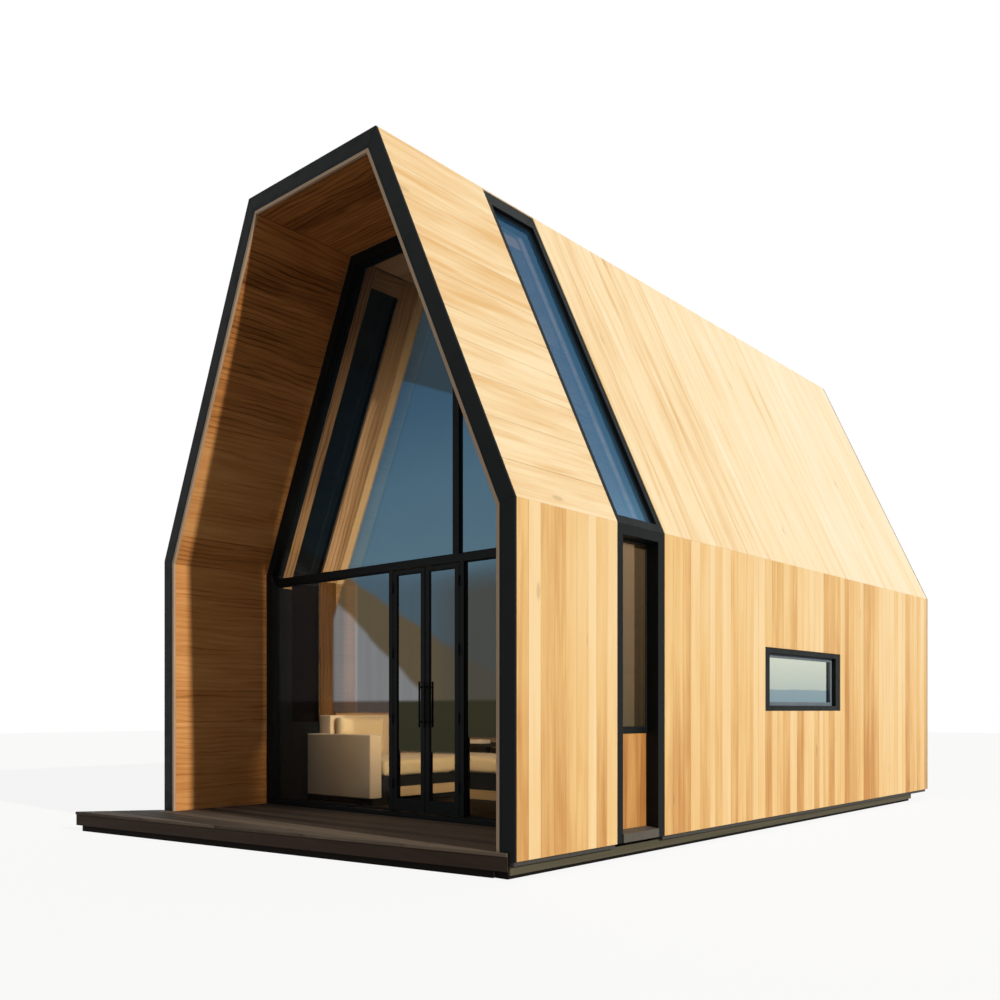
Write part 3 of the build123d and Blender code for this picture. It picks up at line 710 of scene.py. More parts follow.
class Finishes:
    """Every finish of the cabin, each made once when it is first asked for."""

    # How far behind its outer face a strip's glass counts as its room side.
    GLASS_BACK: ClassVar[float] = 0.006

    wall_boards = BoardFinish("wall_boards", "cladding_wood", (0.56, 0.26, 0.065),
                              (0.83, 0.54, 0.22), (0.92, 0.69, 0.38), knots=0.3,
                              drift=(2, 0.1, 2.4, 0.20))
    roof_boards = BoardFinish("roof_boards", "roof_wood", (0.74, 0.47, 0.20),
                              (0.88, 0.70, 0.43), (0.92, 0.81, 0.61), tone_spread=0.15,
                              streaks=0.62, knots=0.35, figure=0.16, figure_pitch=0.22,
                              drift=(1, -4.6, 3.5, 0.30))
    # The porch lining darkens towards its top: painted shade.
    lining_boards = BoardFinish("lining_boards", "lining_wood", (0.15, 0.050, 0.010),
                                (0.56, 0.225, 0.060), (0.80, 0.40, 0.14), tone_spread=0.12,
                                streaks=0.55, waves=1.6, knots=0.2, figure=0.18,
                                drift=(2, 3.2, 5.4, -0.24), gloss=0.12)
    room_boards = BoardFinish("room_boards", "lining_wood", (0.18, 0.095, 0.040),
                              (0.44, 0.265, 0.130), (0.62, 0.41, 0.23), tone_spread=0.25,
                              streaks=0.5, waves=1.4, knots=0.2, figure=0.14, gloss=0.15)
    plank_boards = BoardFinish("plank_boards", "lining_wood", (0.20, 0.110, 0.048),
                               (0.45, 0.270, 0.130), (0.62, 0.41, 0.23), tone_spread=0.2,
                               streaks=0.5, knots=0.2, figure=0.3, gloss=0.15)
    # A darker copy of the plank boards for the upright boards by the strips: painted shade.
    painted_shade_jamb_boards = BoardFinish("painted_shade_jamb_boards", "lining_wood", (0.050, 0.022, 0.006),
                              (0.125, 0.058, 0.018), (0.20, 0.100, 0.036), tone_spread=0.2,
                              streaks=0.5, knots=0.1, figure=0.2, gloss=0.1)
    # A paler copy of the room lining for the room's ceiling: painted light.
    painted_light_ceiling_boards = BoardFinish("painted_light_ceiling_boards", "lining_wood", (0.52, 0.34, 0.18),
                                 (0.72, 0.52, 0.32), (0.82, 0.64, 0.44), knots=0.2, gloss=0.15)
    lining_edges = BoardFinish("lining_edges", "lining_wood", (0.30, 0.20, 0.12),
                               (0.48, 0.34, 0.22), (0.60, 0.44, 0.30), tone_spread=0.3)
    infill_boards = BoardFinish("infill_boards", "lining_wood", (0.42, 0.17, 0.035),
                                (0.58, 0.285, 0.078), (0.72, 0.41, 0.14), knots=0.2,
                                streaks=1.3)
    # The deck darkens towards its left end: painted shade.
    deck_boards = BoardFinish("deck_planks", "deck_wood", (0.022, 0.019, 0.016),
                              (0.078, 0.060, 0.045), (0.17, 0.130, 0.095), roughness=0.7,
                              relief=0.002, drift=(0, -2.8, 0.4, 0.50), gloss=0.12)
    # A much darker copy of the deck wood for the room's floor: painted shade.
    painted_shade_floor_boards = BoardFinish("painted_shade_room_floor", "deck_wood", (0.010, 0.007, 0.004),
                               (0.024, 0.016, 0.010), (0.045, 0.032, 0.021), gloss=0.1)
    fascia_board = BoardFinish("fascia_board", "fascia_wood", (0.010, 0.006, 0.004),
                               (0.028, 0.017, 0.012), (0.052, 0.034, 0.024), roughness=0.66,
                               gloss=0.1)
    # A near-black copy of the base wood for the timbers underneath: painted shade.
    painted_shade_timber = BoardFinish("painted_shade_timber", "base_wood", (0.003, 0.003, 0.002),
                               (0.008, 0.007, 0.006), (0.016, 0.014, 0.011), roughness=0.75,
                               gloss=0.06)
    base_timber = BoardFinish("base_timber", "base_wood", (0.045, 0.038, 0.024),
                              (0.088, 0.078, 0.050), (0.14, 0.126, 0.085), roughness=0.72,
                              gloss=0.15)
    tray_timber = BoardFinish("tray_timber", "table_wood", (0.74, 0.56, 0.42),
                              (0.90, 0.74, 0.58), (0.97, 0.85, 0.72), knots=0.1)
    rail_board = BoardFinish("rail_board", "table_wood", (0.44, 0.27, 0.11),
                             (0.64, 0.42, 0.20), (0.78, 0.56, 0.31), knots=0.1)
    table_timber = BoardFinish("table_timber", "table_wood", (0.014, 0.010, 0.007),
                               (0.030, 0.021, 0.014), (0.055, 0.040, 0.027), gloss=0.15)
    black_metal = MetalFinish("black_metal", "black_metal", (0.0045, 0.0058, 0.0062),
                              (0.011, 0.014, 0.015))
    gasket = MetalFinish("gasket", "black_metal", (0.008, 0.008, 0.009), (0.016, 0.017, 0.018),
                         roughness=0.6)
    sill_metal = MetalFinish("sill_metal", "sill_metal", (0.120, 0.110, 0.094),
                             (0.085, 0.077, 0.064))
    # A pale blue-grey gasket on a black-metal slot: painted highlight.
    painted_highlight_window_gasket = MetalFinish("painted_highlight_window_gasket", "black_metal", (0.12, 0.15, 0.18),
                                (0.20, 0.24, 0.28), roughness=0.6)
    panel_core = PanelFinish("panel_core", "panel_core", (0.020, 0.018, 0.016),
                             (0.045, 0.040, 0.034))
    # The glass colours below are painted reflection.
    front_glass = FrontGlassFinish(
        "front_glass", "clear_glass", (
            (0.00, (0.062, 0.105, 0.140)), (0.26, (0.070, 0.115, 0.150)),
            (0.31, (0.092, 0.165, 0.215)), (0.47, (0.075, 0.148, 0.207)),
            (0.61, (0.048, 0.106, 0.167)), (0.75, (0.036, 0.080, 0.133)),
            (0.90, (0.040, 0.060, 0.052))),
        1.25, 5.6, 0.95)
    slope_glass = GlassFinish(
        "slope_glass", "clear_glass", (
            (0.00, (0.072, 0.164, 0.255)), (0.15, (0.043, 0.112, 0.190)),
            (0.45, (0.028, 0.088, 0.160)), (0.95, (0.021, 0.070, 0.136))),
        2.7, 5.6, 0.96, edge_tint=(0.4, 0.65, 0.9), open_cover=0.35)
    wall_glass = GlassFinish(
        "wall_glass", "clear_glass", (
            (0.00, (0.080, 0.064, 0.034)), (0.18, (0.122, 0.082, 0.042)),
            (0.60, (0.165, 0.110, 0.058)), (0.95, (0.215, 0.145, 0.078))),
        1.0, 2.6, 0.96, edge_tint=(0.9, 0.7, 0.5), open_cover=0.6,
        inner_face=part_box("wall_strip_glass")[1].x - GLASS_BACK)
    side_glass = GlassFinish(
        "side_glass", "clear_glass", (
            (0.0, (0.30, 0.37, 0.38)), (0.06, (0.21, 0.32, 0.38)), (0.355, (0.27, 0.37, 0.41)),
            (0.375, (0.52, 0.57, 0.52)), (0.9, (0.70, 0.74, 0.62))),
        1.18, 1.81, 0.95, edge_tint=(0.8, 0.85, 0.8))
    sofa_cloth = ClothFinish("sofa_cloth", "sofa_fabric", (0.62, 0.45, 0.27), (0.80, 0.62, 0.41))
    cushion_cloth = ClothFinish("cushion_cloth", "cushion_fabric", (0.70, 0.50, 0.26),
                                (0.88, 0.70, 0.42))

    def __init__(self) -> None:
        """Start with no material made."""
        self.made: dict[str, bpy.types.Material] = {}

    def dress(self, piece: bpy.types.Object, finish: Finish) -> None:
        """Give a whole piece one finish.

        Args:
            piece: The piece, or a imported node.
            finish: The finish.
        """
        if finish.name not in self.made:
            self.made[finish.name] = finish.material()
        piece.data.materials.clear()
        piece.data.materials.append(self.made[finish.name])


finishes = Finishes()


# --- mesh tools -----------------------------------------------------------------------------------

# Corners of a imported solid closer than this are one, and faces within this angle are flat.
MERGE = 0.0001
FLAT = 1.0
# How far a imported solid's edges are softened.
EASE = 0.003
# Faces of a glass node below this share of its largest face are the panes' edges.
PANE_FACE = 0.12
# How much thinner a gasket's chamfer is than the gasket.
GASKET_CHAMFER = 0.3
# How far along each axis a timber and a board may be cut out of the grain.
TIMBER_REACH = 9.0
BOARD_REACH = 20.0

def piece_from(name: str, shape: bmesh.types.BMesh, body: Body, finish: Finish,
               replaced: Sequence[str] = ()) -> bpy.types.Object:
    """Turn a finished shape into a piece of the cabin.

    Args:
        name: The piece's name.
        shape: Its mesh, in place, which is freed.
        body: The body that it rides on.
        finish: Its finish.
        replaced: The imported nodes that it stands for.

    Returns:
        The new object.
    """
    mesh = bpy.data.meshes.new(name)
    shape.to_mesh(mesh)
    shape.free()
    piece = bpy.data.objects.new(name, mesh)
    bpy.context.scene.collection.objects.link(piece)
    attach(piece, body.value)
    if replaced:
        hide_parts(*replaced)
    finishes.dress(piece, finish)
    log.info("%s: %d faces", name, len(mesh.polygons))
    return piece


def merged_copy(node: str) -> bmesh.types.BMesh:
    """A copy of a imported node's mesh with its triangles joined into whole faces.

    Args:
        node: The node's name.

    Returns:
        The copy.
    """
    shape = bmesh.new()
    shape.from_mesh(frame["nodes"][node].data)
    bmesh.ops.remove_doubles(shape, verts=shape.verts, dist=MERGE)
    bmesh.ops.dissolve_limit(shape, angle_limit=math.radians(FLAT), verts=shape.verts,
                             edges=shape.edges)
    return shape


def islands(shape: bmesh.types.BMesh) -> list[list[bmesh.types.BMVert]]:
    """The separate solids of a mesh.

    Args:
        shape: The mesh.

    Returns:
        The vertices of each solid.
    """
    seen = set()
    groups = []
    for first in shape.verts:
        if first in seen:
            continue
        seen.add(first)
        group, queue = [], [first]
        while queue:
            vert = queue.pop()
            group.append(vert)
            for edge in vert.link_edges:
                other = edge.other_vert(vert)
                if other not in seen:
                    seen.add(other)
                    queue.append(other)
        groups.append(group)
    return groups


def corners_of(group: Sequence[bmesh.types.BMVert]) -> Corners:
    """The low and the high corner of some vertices."""
    return tuple(Vector([end(vert.co[axis] for vert in group) for axis in range(3)])
                 for end in (min, max))


def add_block(shape: bmesh.types.BMesh, low: Sequence[float], high: Sequence[float]) -> None:
    """Add a box between two corners.

    Args:
        shape: The mesh that takes the box.
        low: Its low corner.
        high: Its high corner.
    """
    size = [b - a for a, b in zip(low, high)]
    middle = [(a + b) / 2 for a, b in zip(low, high)]
    made = bmesh.ops.create_cube(shape, size=1.0)["verts"]
    bmesh.ops.scale(shape, vec=size, verts=made)
    bmesh.ops.translate(shape, vec=middle, verts=made)


def round_edges(shape: bmesh.types.BMesh, width: float, segments: int = 2,
                least: float = 25.0) -> None:
    """Bevel every sharp edge.

    Args:
        shape: The mesh.
        width: The bevel's width.
        segments: Its steps.
        least: The angle in degrees from which an edge is sharp.
    """
    limit = math.radians(least)
    sharp = [edge for edge in shape.edges
             if len(edge.link_faces) == 2 and edge.calc_face_angle(0.0) > limit]
    bmesh.ops.bevel(shape, geom=sharp, offset=width, offset_type="OFFSET", segments=segments,
                    profile=0.5, affect="EDGES", material=-1, clamp_overlap=True)


def grain_layers(shape: bmesh.types.BMesh) -> Layers:
    """Add the layers that hold each board's grain and tone."""
    return shape.verts.layers.float_vector.new("grain"), shape.verts.layers.float.new("tone")


def mark_board(verts: Sequence[bmesh.types.BMVert], layers: Layers, chance: random.Random,
               reach: float, order: Sequence[int] = (0, 1, 2)) -> None:
    """Store one board's grain and tone on its vertices.

    Args:
        verts: The board's vertices.
        layers: The layers of its grain and its tone.
        chance: The source of its chances.
        reach: How far along each axis the board may be cut out of the grain.
        order: The board's axes, with the one along its length last.
    """
    grain, tone = layers
    offset = Vector([chance.uniform(0.0, reach) for _ in range(3)])
    level = chance.random()
    for vert in verts:
        vert[grain] = Vector([vert.co[axis] for axis in order]) + offset
        vert[tone] = level


def store_grain(shape: bmesh.types.BMesh, seed: int) -> None:
    """Store grain along each solid's longest axis, and one tone for each solid.

    Args:
        shape: The mesh.
        seed: The seed of its chances.
    """
    chance = random.Random(seed)
    layers = grain_layers(shape)
    for group in islands(shape):
        low, high = corners_of(group)
        order = sorted(range(3), key=lambda axis: high[axis] - low[axis])
        mark_board(group, layers, chance, TIMBER_REACH, order)


def smooth_faces(piece: bpy.types.Object) -> None:
    """Shade a piece's faces smoothly."""
    for polygon in piece.data.polygons:
        polygon.use_smooth = True


def softened(name: str, node: str, finish: Finish, width: float = EASE,
             body: Body = Body.CABIN) -> bpy.types.Object:
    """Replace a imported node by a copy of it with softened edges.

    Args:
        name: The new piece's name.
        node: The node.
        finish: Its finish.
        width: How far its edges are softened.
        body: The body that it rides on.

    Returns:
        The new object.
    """
    shape = merged_copy(node)
    round_edges(shape, width)
    if isinstance(finish, BoardFinish):
        store_grain(shape, len(name))
    bmesh.ops.recalc_face_normals(shape, faces=shape.faces)
    return piece_from(name, shape, body, finish, [node])


def beads(name: str, node: str, finish: Finish, width: float, height: float,
          body: Body = Body.CABIN) -> bpy.types.Object:
    """Lay a gasket round both faces of every pane of a glass node.

    Args:
        name: The new piece's name.
        node: The glass node.
        finish: The gasket's finish.
        width: How far it reaches over the glass.
        height: How far it stands off the glass.
        body: The body that it rides on.

    Returns:
        The new object.
    """
    panes = merged_copy(node)
    panes.normal_update()
    rings = bmesh.new()
    largest = max(face.calc_area() for face in panes.faces)
    for face in panes.faces:
        if face.calc_area() < largest * PANE_FACE:
            continue
        normal = face.normal.copy()
        rim = rings.faces.new([rings.verts.new(vert.co) for vert in face.verts])
        rim.normal_update()
        ring = bmesh.ops.inset_region(rings, faces=[rim], use_boundary=True, thickness=width,
                                      use_even_offset=True)["faces"]
        bmesh.ops.delete(rings, geom=[rim], context="FACES_ONLY")
        raised = bmesh.ops.extrude_face_region(rings, geom=ring)
        moved = [item for item in raised["geom"] if isinstance(item, bmesh.types.BMVert)]
        bmesh.ops.translate(rings, verts=moved, vec=normal * height)
    panes.free()
    bmesh.ops.recalc_face_normals(rings, faces=rings.faces)
    round_edges(rings, min(width, height) * GASKET_CHAMFER, segments=1, least=60.0)
    return piece_from(name, rings, body, finish)


class Boards:
    """A field of separate boards in one mesh, each with its own grain and tone."""

    def __init__(self, seed: int, edge: float = 0.003, segments: int = 2) -> None:
        """Start an empty field.

        Args:
            seed: The seed of its chances.
            edge: How much each board's edges are eased.
            segments: The steps of that easing.
        """
        self.chance = random.Random(seed)
        self.shape = bmesh.new()
        self.edge = edge
        self.segments = segments

    @classmethod
    def fine(cls, seed: int) -> "Boards":
        """Start an empty field of boards with small plain chamfers."""
        return cls(seed, edge=0.0015, segments=1)

    def spread(self, span: Span, widths: Span) -> list[Span]:
        """Divide a span into boards of varied width.

        Args:
            span: Its start and its end.
            widths: The narrowest and the widest board.

        Returns:
            Each board's middle and its width.
        """
        length = span[1] - span[0]
        narrow, wide = widths
        count = max(1, round(length / ((narrow + wide) / 2)))
        parts = [self.chance.uniform(narrow, wide) for _ in range(count)]
        scale = length / sum(parts)
        start = span[0]
        result = []
        for part in parts:
            result.append((start + part * scale / 2, part * scale))
            start += part * scale
        return result

    def lay(self, start: Vector, along: Vector, out: Vector, size: Triple,
            mitres: Span = (0.0, 0.0), cuts: Sequence[Plane] = ()) -> None:
        """Lay one board.

        Args:
            start: The middle of its starting end, on its outer face.
            along: The direction of its length.
            out: The direction that its face looks to.
            size: Its width, thickness and length.
            mitres: How far each end is drawn in for each unit of depth.
            cuts: Planes, as (point, outward normal), that trim it.
        """
        width, thick, length = size
        axes = Matrix((out.cross(along), out, along)).transposed().to_4x4()
        place = Matrix.Translation(start) @ axes
        board = bmesh.new()
        bmesh.ops.create_cube(board, size=1.0)
        bmesh.ops.scale(board, vec=(width, thick, length), verts=board.verts)
        bmesh.ops.translate(board, vec=(0.0, -thick / 2, length / 2), verts=board.verts)
        first, last = mitres
        for vert in board.verts:
            depth = -vert.co.y
            vert.co.z += first * depth if vert.co.z < length / 2 else -last * depth
        back = place.inverted()
        for point, normal in cuts:
            self.trim(board, back @ point, back.to_3x3() @ normal)
        if board.faces:
            round_edges(board, self.edge, self.segments)
            self.store(board, place)
        board.free()

    @staticmethod
    def trim(board: bmesh.types.BMesh, point: Vector, normal: Vector) -> None:
        """Cut off what lies beyond a plane and close the cut.

        Args:
            board: The board.
            point: A point on the plane.
            normal: The direction in which everything is cut off.
        """
        everything = [*board.verts, *board.edges, *board.faces]
        bmesh.ops.bisect_plane(board, geom=everything, dist=0.00001, plane_co=point,
                               plane_no=normal, clear_outer=True)
        rims = [edge for edge in board.edges if edge.is_boundary]
        if rims:
            bmesh.ops.holes_fill(board, edges=rims)

    def store(self, board: bmesh.types.BMesh, place: Matrix) -> None:
        """Add a board to the field with its grain and tone.

        Args:
            board: The board, in its own axes.
            place: Where it goes.
        """
        mark_board(board.verts, grain_layers(board), self.chance, BOARD_REACH)
        board.transform(place)
        mesh = bpy.data.meshes.new("board")
        board.to_mesh(mesh)
        self.shape.from_mesh(mesh)
        bpy.data.meshes.remove(mesh)

    def piece(self, name: str, finish: BoardFinish, replaced: Sequence[str] = ()) -> None:
        """Close the field and make it a piece of the cabin.

        Args:
            name: The piece's name.
            finish: Its finish.
            replaced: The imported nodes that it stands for.
        """
        bmesh.ops.recalc_face_normals(self.shape, faces=self.shape.faces)
        piece_from(name, self.shape, Body.CABIN, finish, replaced)


# --- the cabin ------------------------------------------------------------------------------------


@dataclass(frozen=True)
class Profile:
    """The cabin's faceted cross-section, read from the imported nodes."""

    half: float
    base: float
    eave: float
    top_half: float
    top: float
    front: float
    rear: float

    @classmethod
    def read(cls) -> "Profile":
        """Take the sizes from the cladding and edge trims."""
        low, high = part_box("wall_cladding")
        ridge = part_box("top_cladding")[1]
        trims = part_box("edge_posts")
        return cls(high.x, low.z, high.z, ridge.x, ridge.z, trims[0].y, trims[1].y)

    @property
    def slope(self) -> Vector:
        """The direction up the right-hand slope."""
        return Vector((self.top_half - self.half, 0.0, self.top - self.eave)).normalized()

    @property
    def slope_out(self) -> Vector:
        """The direction that the right-hand slope faces."""
        return Vector((self.slope.z, 0.0, -self.slope.x))

    @property
    def eave_mitre(self) -> float:
        """How far a board end is drawn in at the eave for each unit of depth."""
        return math.tan(math.acos(self.slope.z) / 2)

    @property
    def top_mitre(self) -> float:
        """How far a board end is drawn in at the top edge for each unit of depth."""
        return math.tan(math.acos(-self.slope.x) / 2)

    def corner_x(self, depth: float) -> float:
        """Half width of the flat top at a depth below the outer face."""
        return self.top_half - depth * self.top_mitre

    def eave_z(self, depth: float) -> float:
        """Height of the eave corner at a depth below the outer face."""
        return self.eave - depth * self.eave_mitre

    def slope_length(self, depth: float) -> float:
        """Length of the slope at a depth below the outer face."""
        run = self.half - depth - self.corner_x(depth)
        return math.hypot(run, self.top - depth - self.eave_z(depth))


profile = Profile.read()


def turned(vector: Vector, side: Side) -> Vector:
    """A right-hand vector, mirrored when it is for the left."""
    return Vector((vector.x * side.value, vector.y, vector.z))


def slope_cuts(half: float) -> list[Plane]:
    """The planes of both slopes at the depth where the walls stand at a half width."""
    edge = Vector((half, 0.0, profile.eave_z(profile.half - half)))
    return [(turned(edge, side), turned(profile.slope_out, side)) for side in Side]


def hoop(boards: Boards, depth: float, thick: float, middle: float, width: float,
         side: Side, low: float, wall: bool = True, roof: bool = True,
         wall_top: float = 0.0, gap: float = 0.0) -> None:
    """Lay the upright and the sloping board of one hoop on one side.

    Args:
        boards: The field that takes the boards.
        depth: Depth of their faces below the cabin's outer face.
        thick: Their thickness.
        middle: The middle of their width along Y.
        width: Their width along Y.
        side: The side of the cabin.
        low: Height of the upright board's foot.
        wall: Whether the upright board is laid.
        roof: Whether the sloping board is laid.
        wall_top: Height of the upright board's head, or 0 for the eave.
        gap: Play left at each side of a board.
    """
    out = turned(ACROSS, side)
    head = wall_top or profile.eave_z(depth)
    if wall:
        foot = turned(Vector((profile.half - depth, middle, low)), side)
        mitre = 0.0 if wall_top else profile.eave_mitre
        boards.lay(foot, UP, out, (width - gap, thick, head - low), (0.0, mitre))
    if roof:
        foot = turned(Vector((profile.half - depth, middle, profile.eave_z(depth))), side)
        size = (width - gap, thick, profile.slope_length(depth))
        mitres = (profile.eave_mitre, profile.top_mitre)
        boards.lay(foot, turned(profile.slope, side), turned(profile.slope_out, side),
                   size, mitres)


@dataclass
class Cladding:
    """Outer boards of the walls, slopes, flat top and rear."""

    gap: float = 0.002
    wall_widths: Span = (0.105, 0.17)
    level_widths: Span = (0.30, 0.40)
    slope_widths: Span = (0.24, 0.36)
    top_widths: Span = (0.15, 0.19)
    depth: float = field(init=False)
    strip: Span = field(init=False)
    window: Corners = field(init=False)
    ends: Span = field(init=False)

    def __post_init__(self) -> None:
        """Read the openings and the boards' thickness."""
        low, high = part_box("wall_strip_frames")
        self.strip = (low.y, high.y)
        self.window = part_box("window_frames")
        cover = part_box("wall_cladding")
        self.ends = (cover[0].y, cover[1].y)
        self.depth = profile.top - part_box("top_cladding")[0].z

    def build(self) -> None:
        """Lay every outer board."""
        self.walls()
        self.slopes()
        self.flat_top()
        self.rear()

    def walls(self) -> None:
        """Lay the upright boards of both side walls."""
        boards = Boards(11)
        low, high = self.window
        bays = ((self.ends[0], self.strip[0]), (self.strip[1], low.y), (high.y, self.ends[1]))
        for side in Side:
            for bay in bays:
                for middle, width in boards.spread(bay, self.wall_widths):
                    hoop(boards, 0.0, self.depth, middle, width, side, profile.base,
                         roof=False, gap=self.gap)
            for middle, width in boards.spread((low.y, high.y), self.wall_widths):
                hoop(boards, 0.0, self.depth, middle, width, side, profile.base,
                     roof=False, wall_top=low.z, gap=self.gap)
                hoop(boards, 0.0, self.depth, middle, width, side, high.z,
                     roof=False, gap=self.gap)
        boards.piece("wall_boarding", finishes.wall_boards, ["wall_cladding"])

    def slopes(self) -> None:
        """Lay level boards before the strips and boards down the slopes behind them."""
        boards = Boards(12)
        eave = Vector((profile.eave_mitre, 0.0, -1.0)).normalized()
        top = Vector((-1.0, 0.0, profile.top_mitre)).normalized()
        length = self.strip[0] - self.ends[0]
        for side in Side:
            foot = turned(Vector((profile.half, self.ends[0], profile.eave)), side)
            head = turned(Vector((profile.top_half, self.ends[0], profile.top)), side)
            cuts = [(foot, turned(eave, side)), (head, turned(top, side))]
            span = (-self.depth, profile.slope_length(0.0) + self.depth)
            for middle, width in boards.spread(span, self.level_widths):
                start = foot + turned(profile.slope, side) * middle
                boards.lay(start, BACK, turned(profile.slope_out, side),
                           (width - self.gap, self.depth, length), cuts=cuts)
            behind = (self.strip[1], self.ends[1])
            for middle, width in boards.spread(behind, self.slope_widths):
                hoop(boards, 0.0, self.depth, middle, width, side, profile.base,
                     wall=False, gap=self.gap)
        boards.piece("slope_boarding", finishes.roof_boards, ["roof_cladding"])

    def flat_top(self) -> None:
        """Lay the boards across the flat top."""
        boards = Boards(13)
        length = 2 * profile.top_half
        mitres = (profile.top_mitre, profile.top_mitre)
        for middle, width in boards.spread(self.ends, self.top_widths):
            start = Vector((-profile.top_half, middle, profile.top))
            size = (width - self.gap, self.depth, length)
            boards.lay(start, ACROSS, UP, size, mitres)
        boards.piece("top_boarding", finishes.roof_boards, ["top_cladding"])

    def rear(self) -> None:
        """Lay the upright boards of the rear, trimmed to the slopes."""
        boards = Boards(14)
        low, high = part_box("rear_cladding")
        for middle, width in boards.spread((low.x, high.x), self.wall_widths):
            start = Vector((middle, high.y, profile.base))
            size = (width - self.gap, high.y - low.y, high.z - profile.base)
            boards.lay(start, UP, BACK, size, cuts=slope_cuts(high.x))
        boards.piece("rear_boarding", finishes.wall_boards, ["rear_cladding"])


@dataclass
class Lining:
    """Inner boards of the porch and the room, with pale casings at the porch's front edge."""

    casing: float = 0.024
    # Width of the black strip at the casings' outer edge, which is painted shadow.
    painted_shadow_line: float = 0.020
    board: float = 0.022
    widths: Span = (0.26, 0.34)
    window_board: float = 0.26
    gap: float = 0.001
    edge: float = 0.002
    raised_edge: float = 0.004
    strip_break: float = 0.09
    trim_width: float = 0.12
    trim_thick: float = 0.022
    trim_place: float = 0.215
    plank: float = 0.010
    head: float = 0.19
    outer: float = field(init=False)
    inner: float = field(init=False)
    front: float = field(init=False)
    rear: float = field(init=False)
    glazing: float = field(init=False)
    window: Corners = field(init=False)

    def __post_init__(self) -> None:
        """Read the lining's depths and ends, the glazed wall's place and the window."""
        low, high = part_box("wall_lining")
        self.outer = profile.half - high.x
        self.inner = self.outer + (high.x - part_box("cabin_floor")[1].x)
        self.front = low.y
        self.rear = high.y
        self.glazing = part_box("glazing_posts")[0].y
        self.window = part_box("window_frames")

    def build(self) -> None:
        """Lay the casings, the porch boards and the room boards."""
        self.casings()
        self.strip_casings()
        self.sides()
        self.ceiling()
        self.rear_wall()

    def casings(self) -> None:
        """Edge the open front with pale boards that run round the whole profile, with a black strip
        of painted shadow between them and the outer trims.
        """
        middle = self.front + self.casing / 2
        mitres = (profile.top_mitre, profile.top_mitre)
        seam = self.outer + self.painted_shadow_line
        rings = (("porch_painted_shadow_line", self.outer, seam, finishes.black_metal),
                 ("porch_casings", seam, self.inner, finishes.lining_edges))
        for name, outer, inner, finish in rings:
            boards = Boards(21, edge=self.edge)
            thick = inner - outer
            for side in Side:
                hoop(boards, outer, thick, middle, self.casing, side, profile.base)
            start = Vector((-profile.corner_x(outer), middle, profile.top - outer))
            size = (self.casing, thick, -2 * start.x)
            boards.lay(start, ACROSS, UP, size, mitres)
            boards.piece(name, finish)

    def strip_casings(self) -> None:
        """Board round the opening of each strip, with a raised board behind it."""
        raised = Boards(25, edge=self.raised_edge)
        planks = Boards(27, edge=self.edge)
        jambs = Boards(28, edge=self.edge)
        depth = self.inner + self.gap
        face = depth + self.plank
        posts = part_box("glazing_posts")[1].y
        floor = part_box("cabin_floor")[1].z + self.gap
        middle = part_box("roof_strip_glass")[1].y + self.trim_place
        opening = self.strip_opening()
        trim = middle - self.trim_width / 2
        slope = profile.slope_length(face)
        for side in Side:
            hoop(raised, depth, self.trim_thick, middle, self.trim_width, side, profile.base,
                 wall=False)
            for start, end in ((posts, opening[0]), (opening[1], trim)):
                hoop(planks, depth, self.plank, (start + end) / 2, end - start, side, floor,
                     wall=False, gap=self.gap)
            hoop(jambs, depth, self.plank, (opening[1] + trim) / 2, trim - opening[1], side,
                 floor, roof=False, gap=self.gap)
            corner = Vector((profile.half - face, opening[0], profile.eave_z(face)))
            foot = turned(corner + profile.slope * (slope - self.head / 2), side)
            size = (self.head, self.plank, opening[1] - opening[0])
            planks.lay(foot, BACK, turned(profile.slope_out * -1.0, side), size)
        raised.piece("strip_casings", finishes.rail_board)
        planks.piece("strip_planks", finishes.plank_boards)
        jambs.piece("strip_jambs", finishes.painted_shade_jamb_boards)

    def strip_opening(self) -> Span:
        """Where the lining breaks off before each strip and starts again behind it."""
        low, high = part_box("wall_strip_glass")
        return low.y + self.strip_break, high.y - self.strip_break / 2

    def bays(self) -> list[Span]:
        """The lengths of lining between its openings."""
        before, behind = self.strip_opening()
        low, high = self.window
        return [(self.front + self.casing, self.glazing), (self.glazing, before),
                (behind, low.y), (low.y, high.y), (high.y, self.rear)]

    def sides(self) -> None:
        """Lay the level boards of the walls and slopes, in the porch and in the room."""
        porch = Boards.fine(22)
        room = Boards.fine(26)
        window_low, window_high = self.window
        eave = profile.eave_z(self.inner)
        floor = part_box("cabin_floor")[0].z
        slope = profile.slope_length(self.inner)
        for side in Side:
            into_room = turned(ACROSS * -1.0, side)
            slope_in = turned(profile.slope_out * -1.0, side)
            up_slope = turned(profile.slope, side)
            corner = turned(Vector((profile.half - self.inner, 0.0, eave)), side)
            for start, end in self.bays():
                boards = porch if start < self.glazing else room
                at_window = start == window_low.y
                length = end - start
                for middle, width in boards.spread((floor, eave), self.widths):
                    low, high = middle - width / 2, middle + width / 2
                    if at_window and low < window_high.z and high > window_low.z:
                        continue
                    foot = Vector((corner.x, start, middle))
                    boards.lay(foot, BACK, into_room, (width - self.gap, self.board, length))
                if at_window:
                    self.window_boards(boards, corner.x, into_room)
                for middle, width in boards.spread((0.0, slope), self.widths):
                    foot = corner + up_slope * middle + BACK * start
                    boards.lay(foot, BACK, slope_in, (width - self.gap, self.board, length))
        porch.piece("porch_side_boards", finishes.lining_boards, ["wall_lining", "roof_lining"])
        room.piece("room_side_boards", finishes.room_boards)

    def window_boards(self, boards: Boards, x: float, into_room: Vector) -> None:
        """Lay a short board under and over a window's frame.

        Args:
            boards: The field that takes them.
            x: Where their faces lie.
            into_room: The direction that their faces look to.
        """
        low, high = self.window
        size = (self.window_board - self.gap, self.board, high.y - low.y)
        for middle in (low.z - self.window_board / 2, high.z + self.window_board / 2):
            boards.lay(Vector((x, low.y, middle)), BACK, into_room, size)

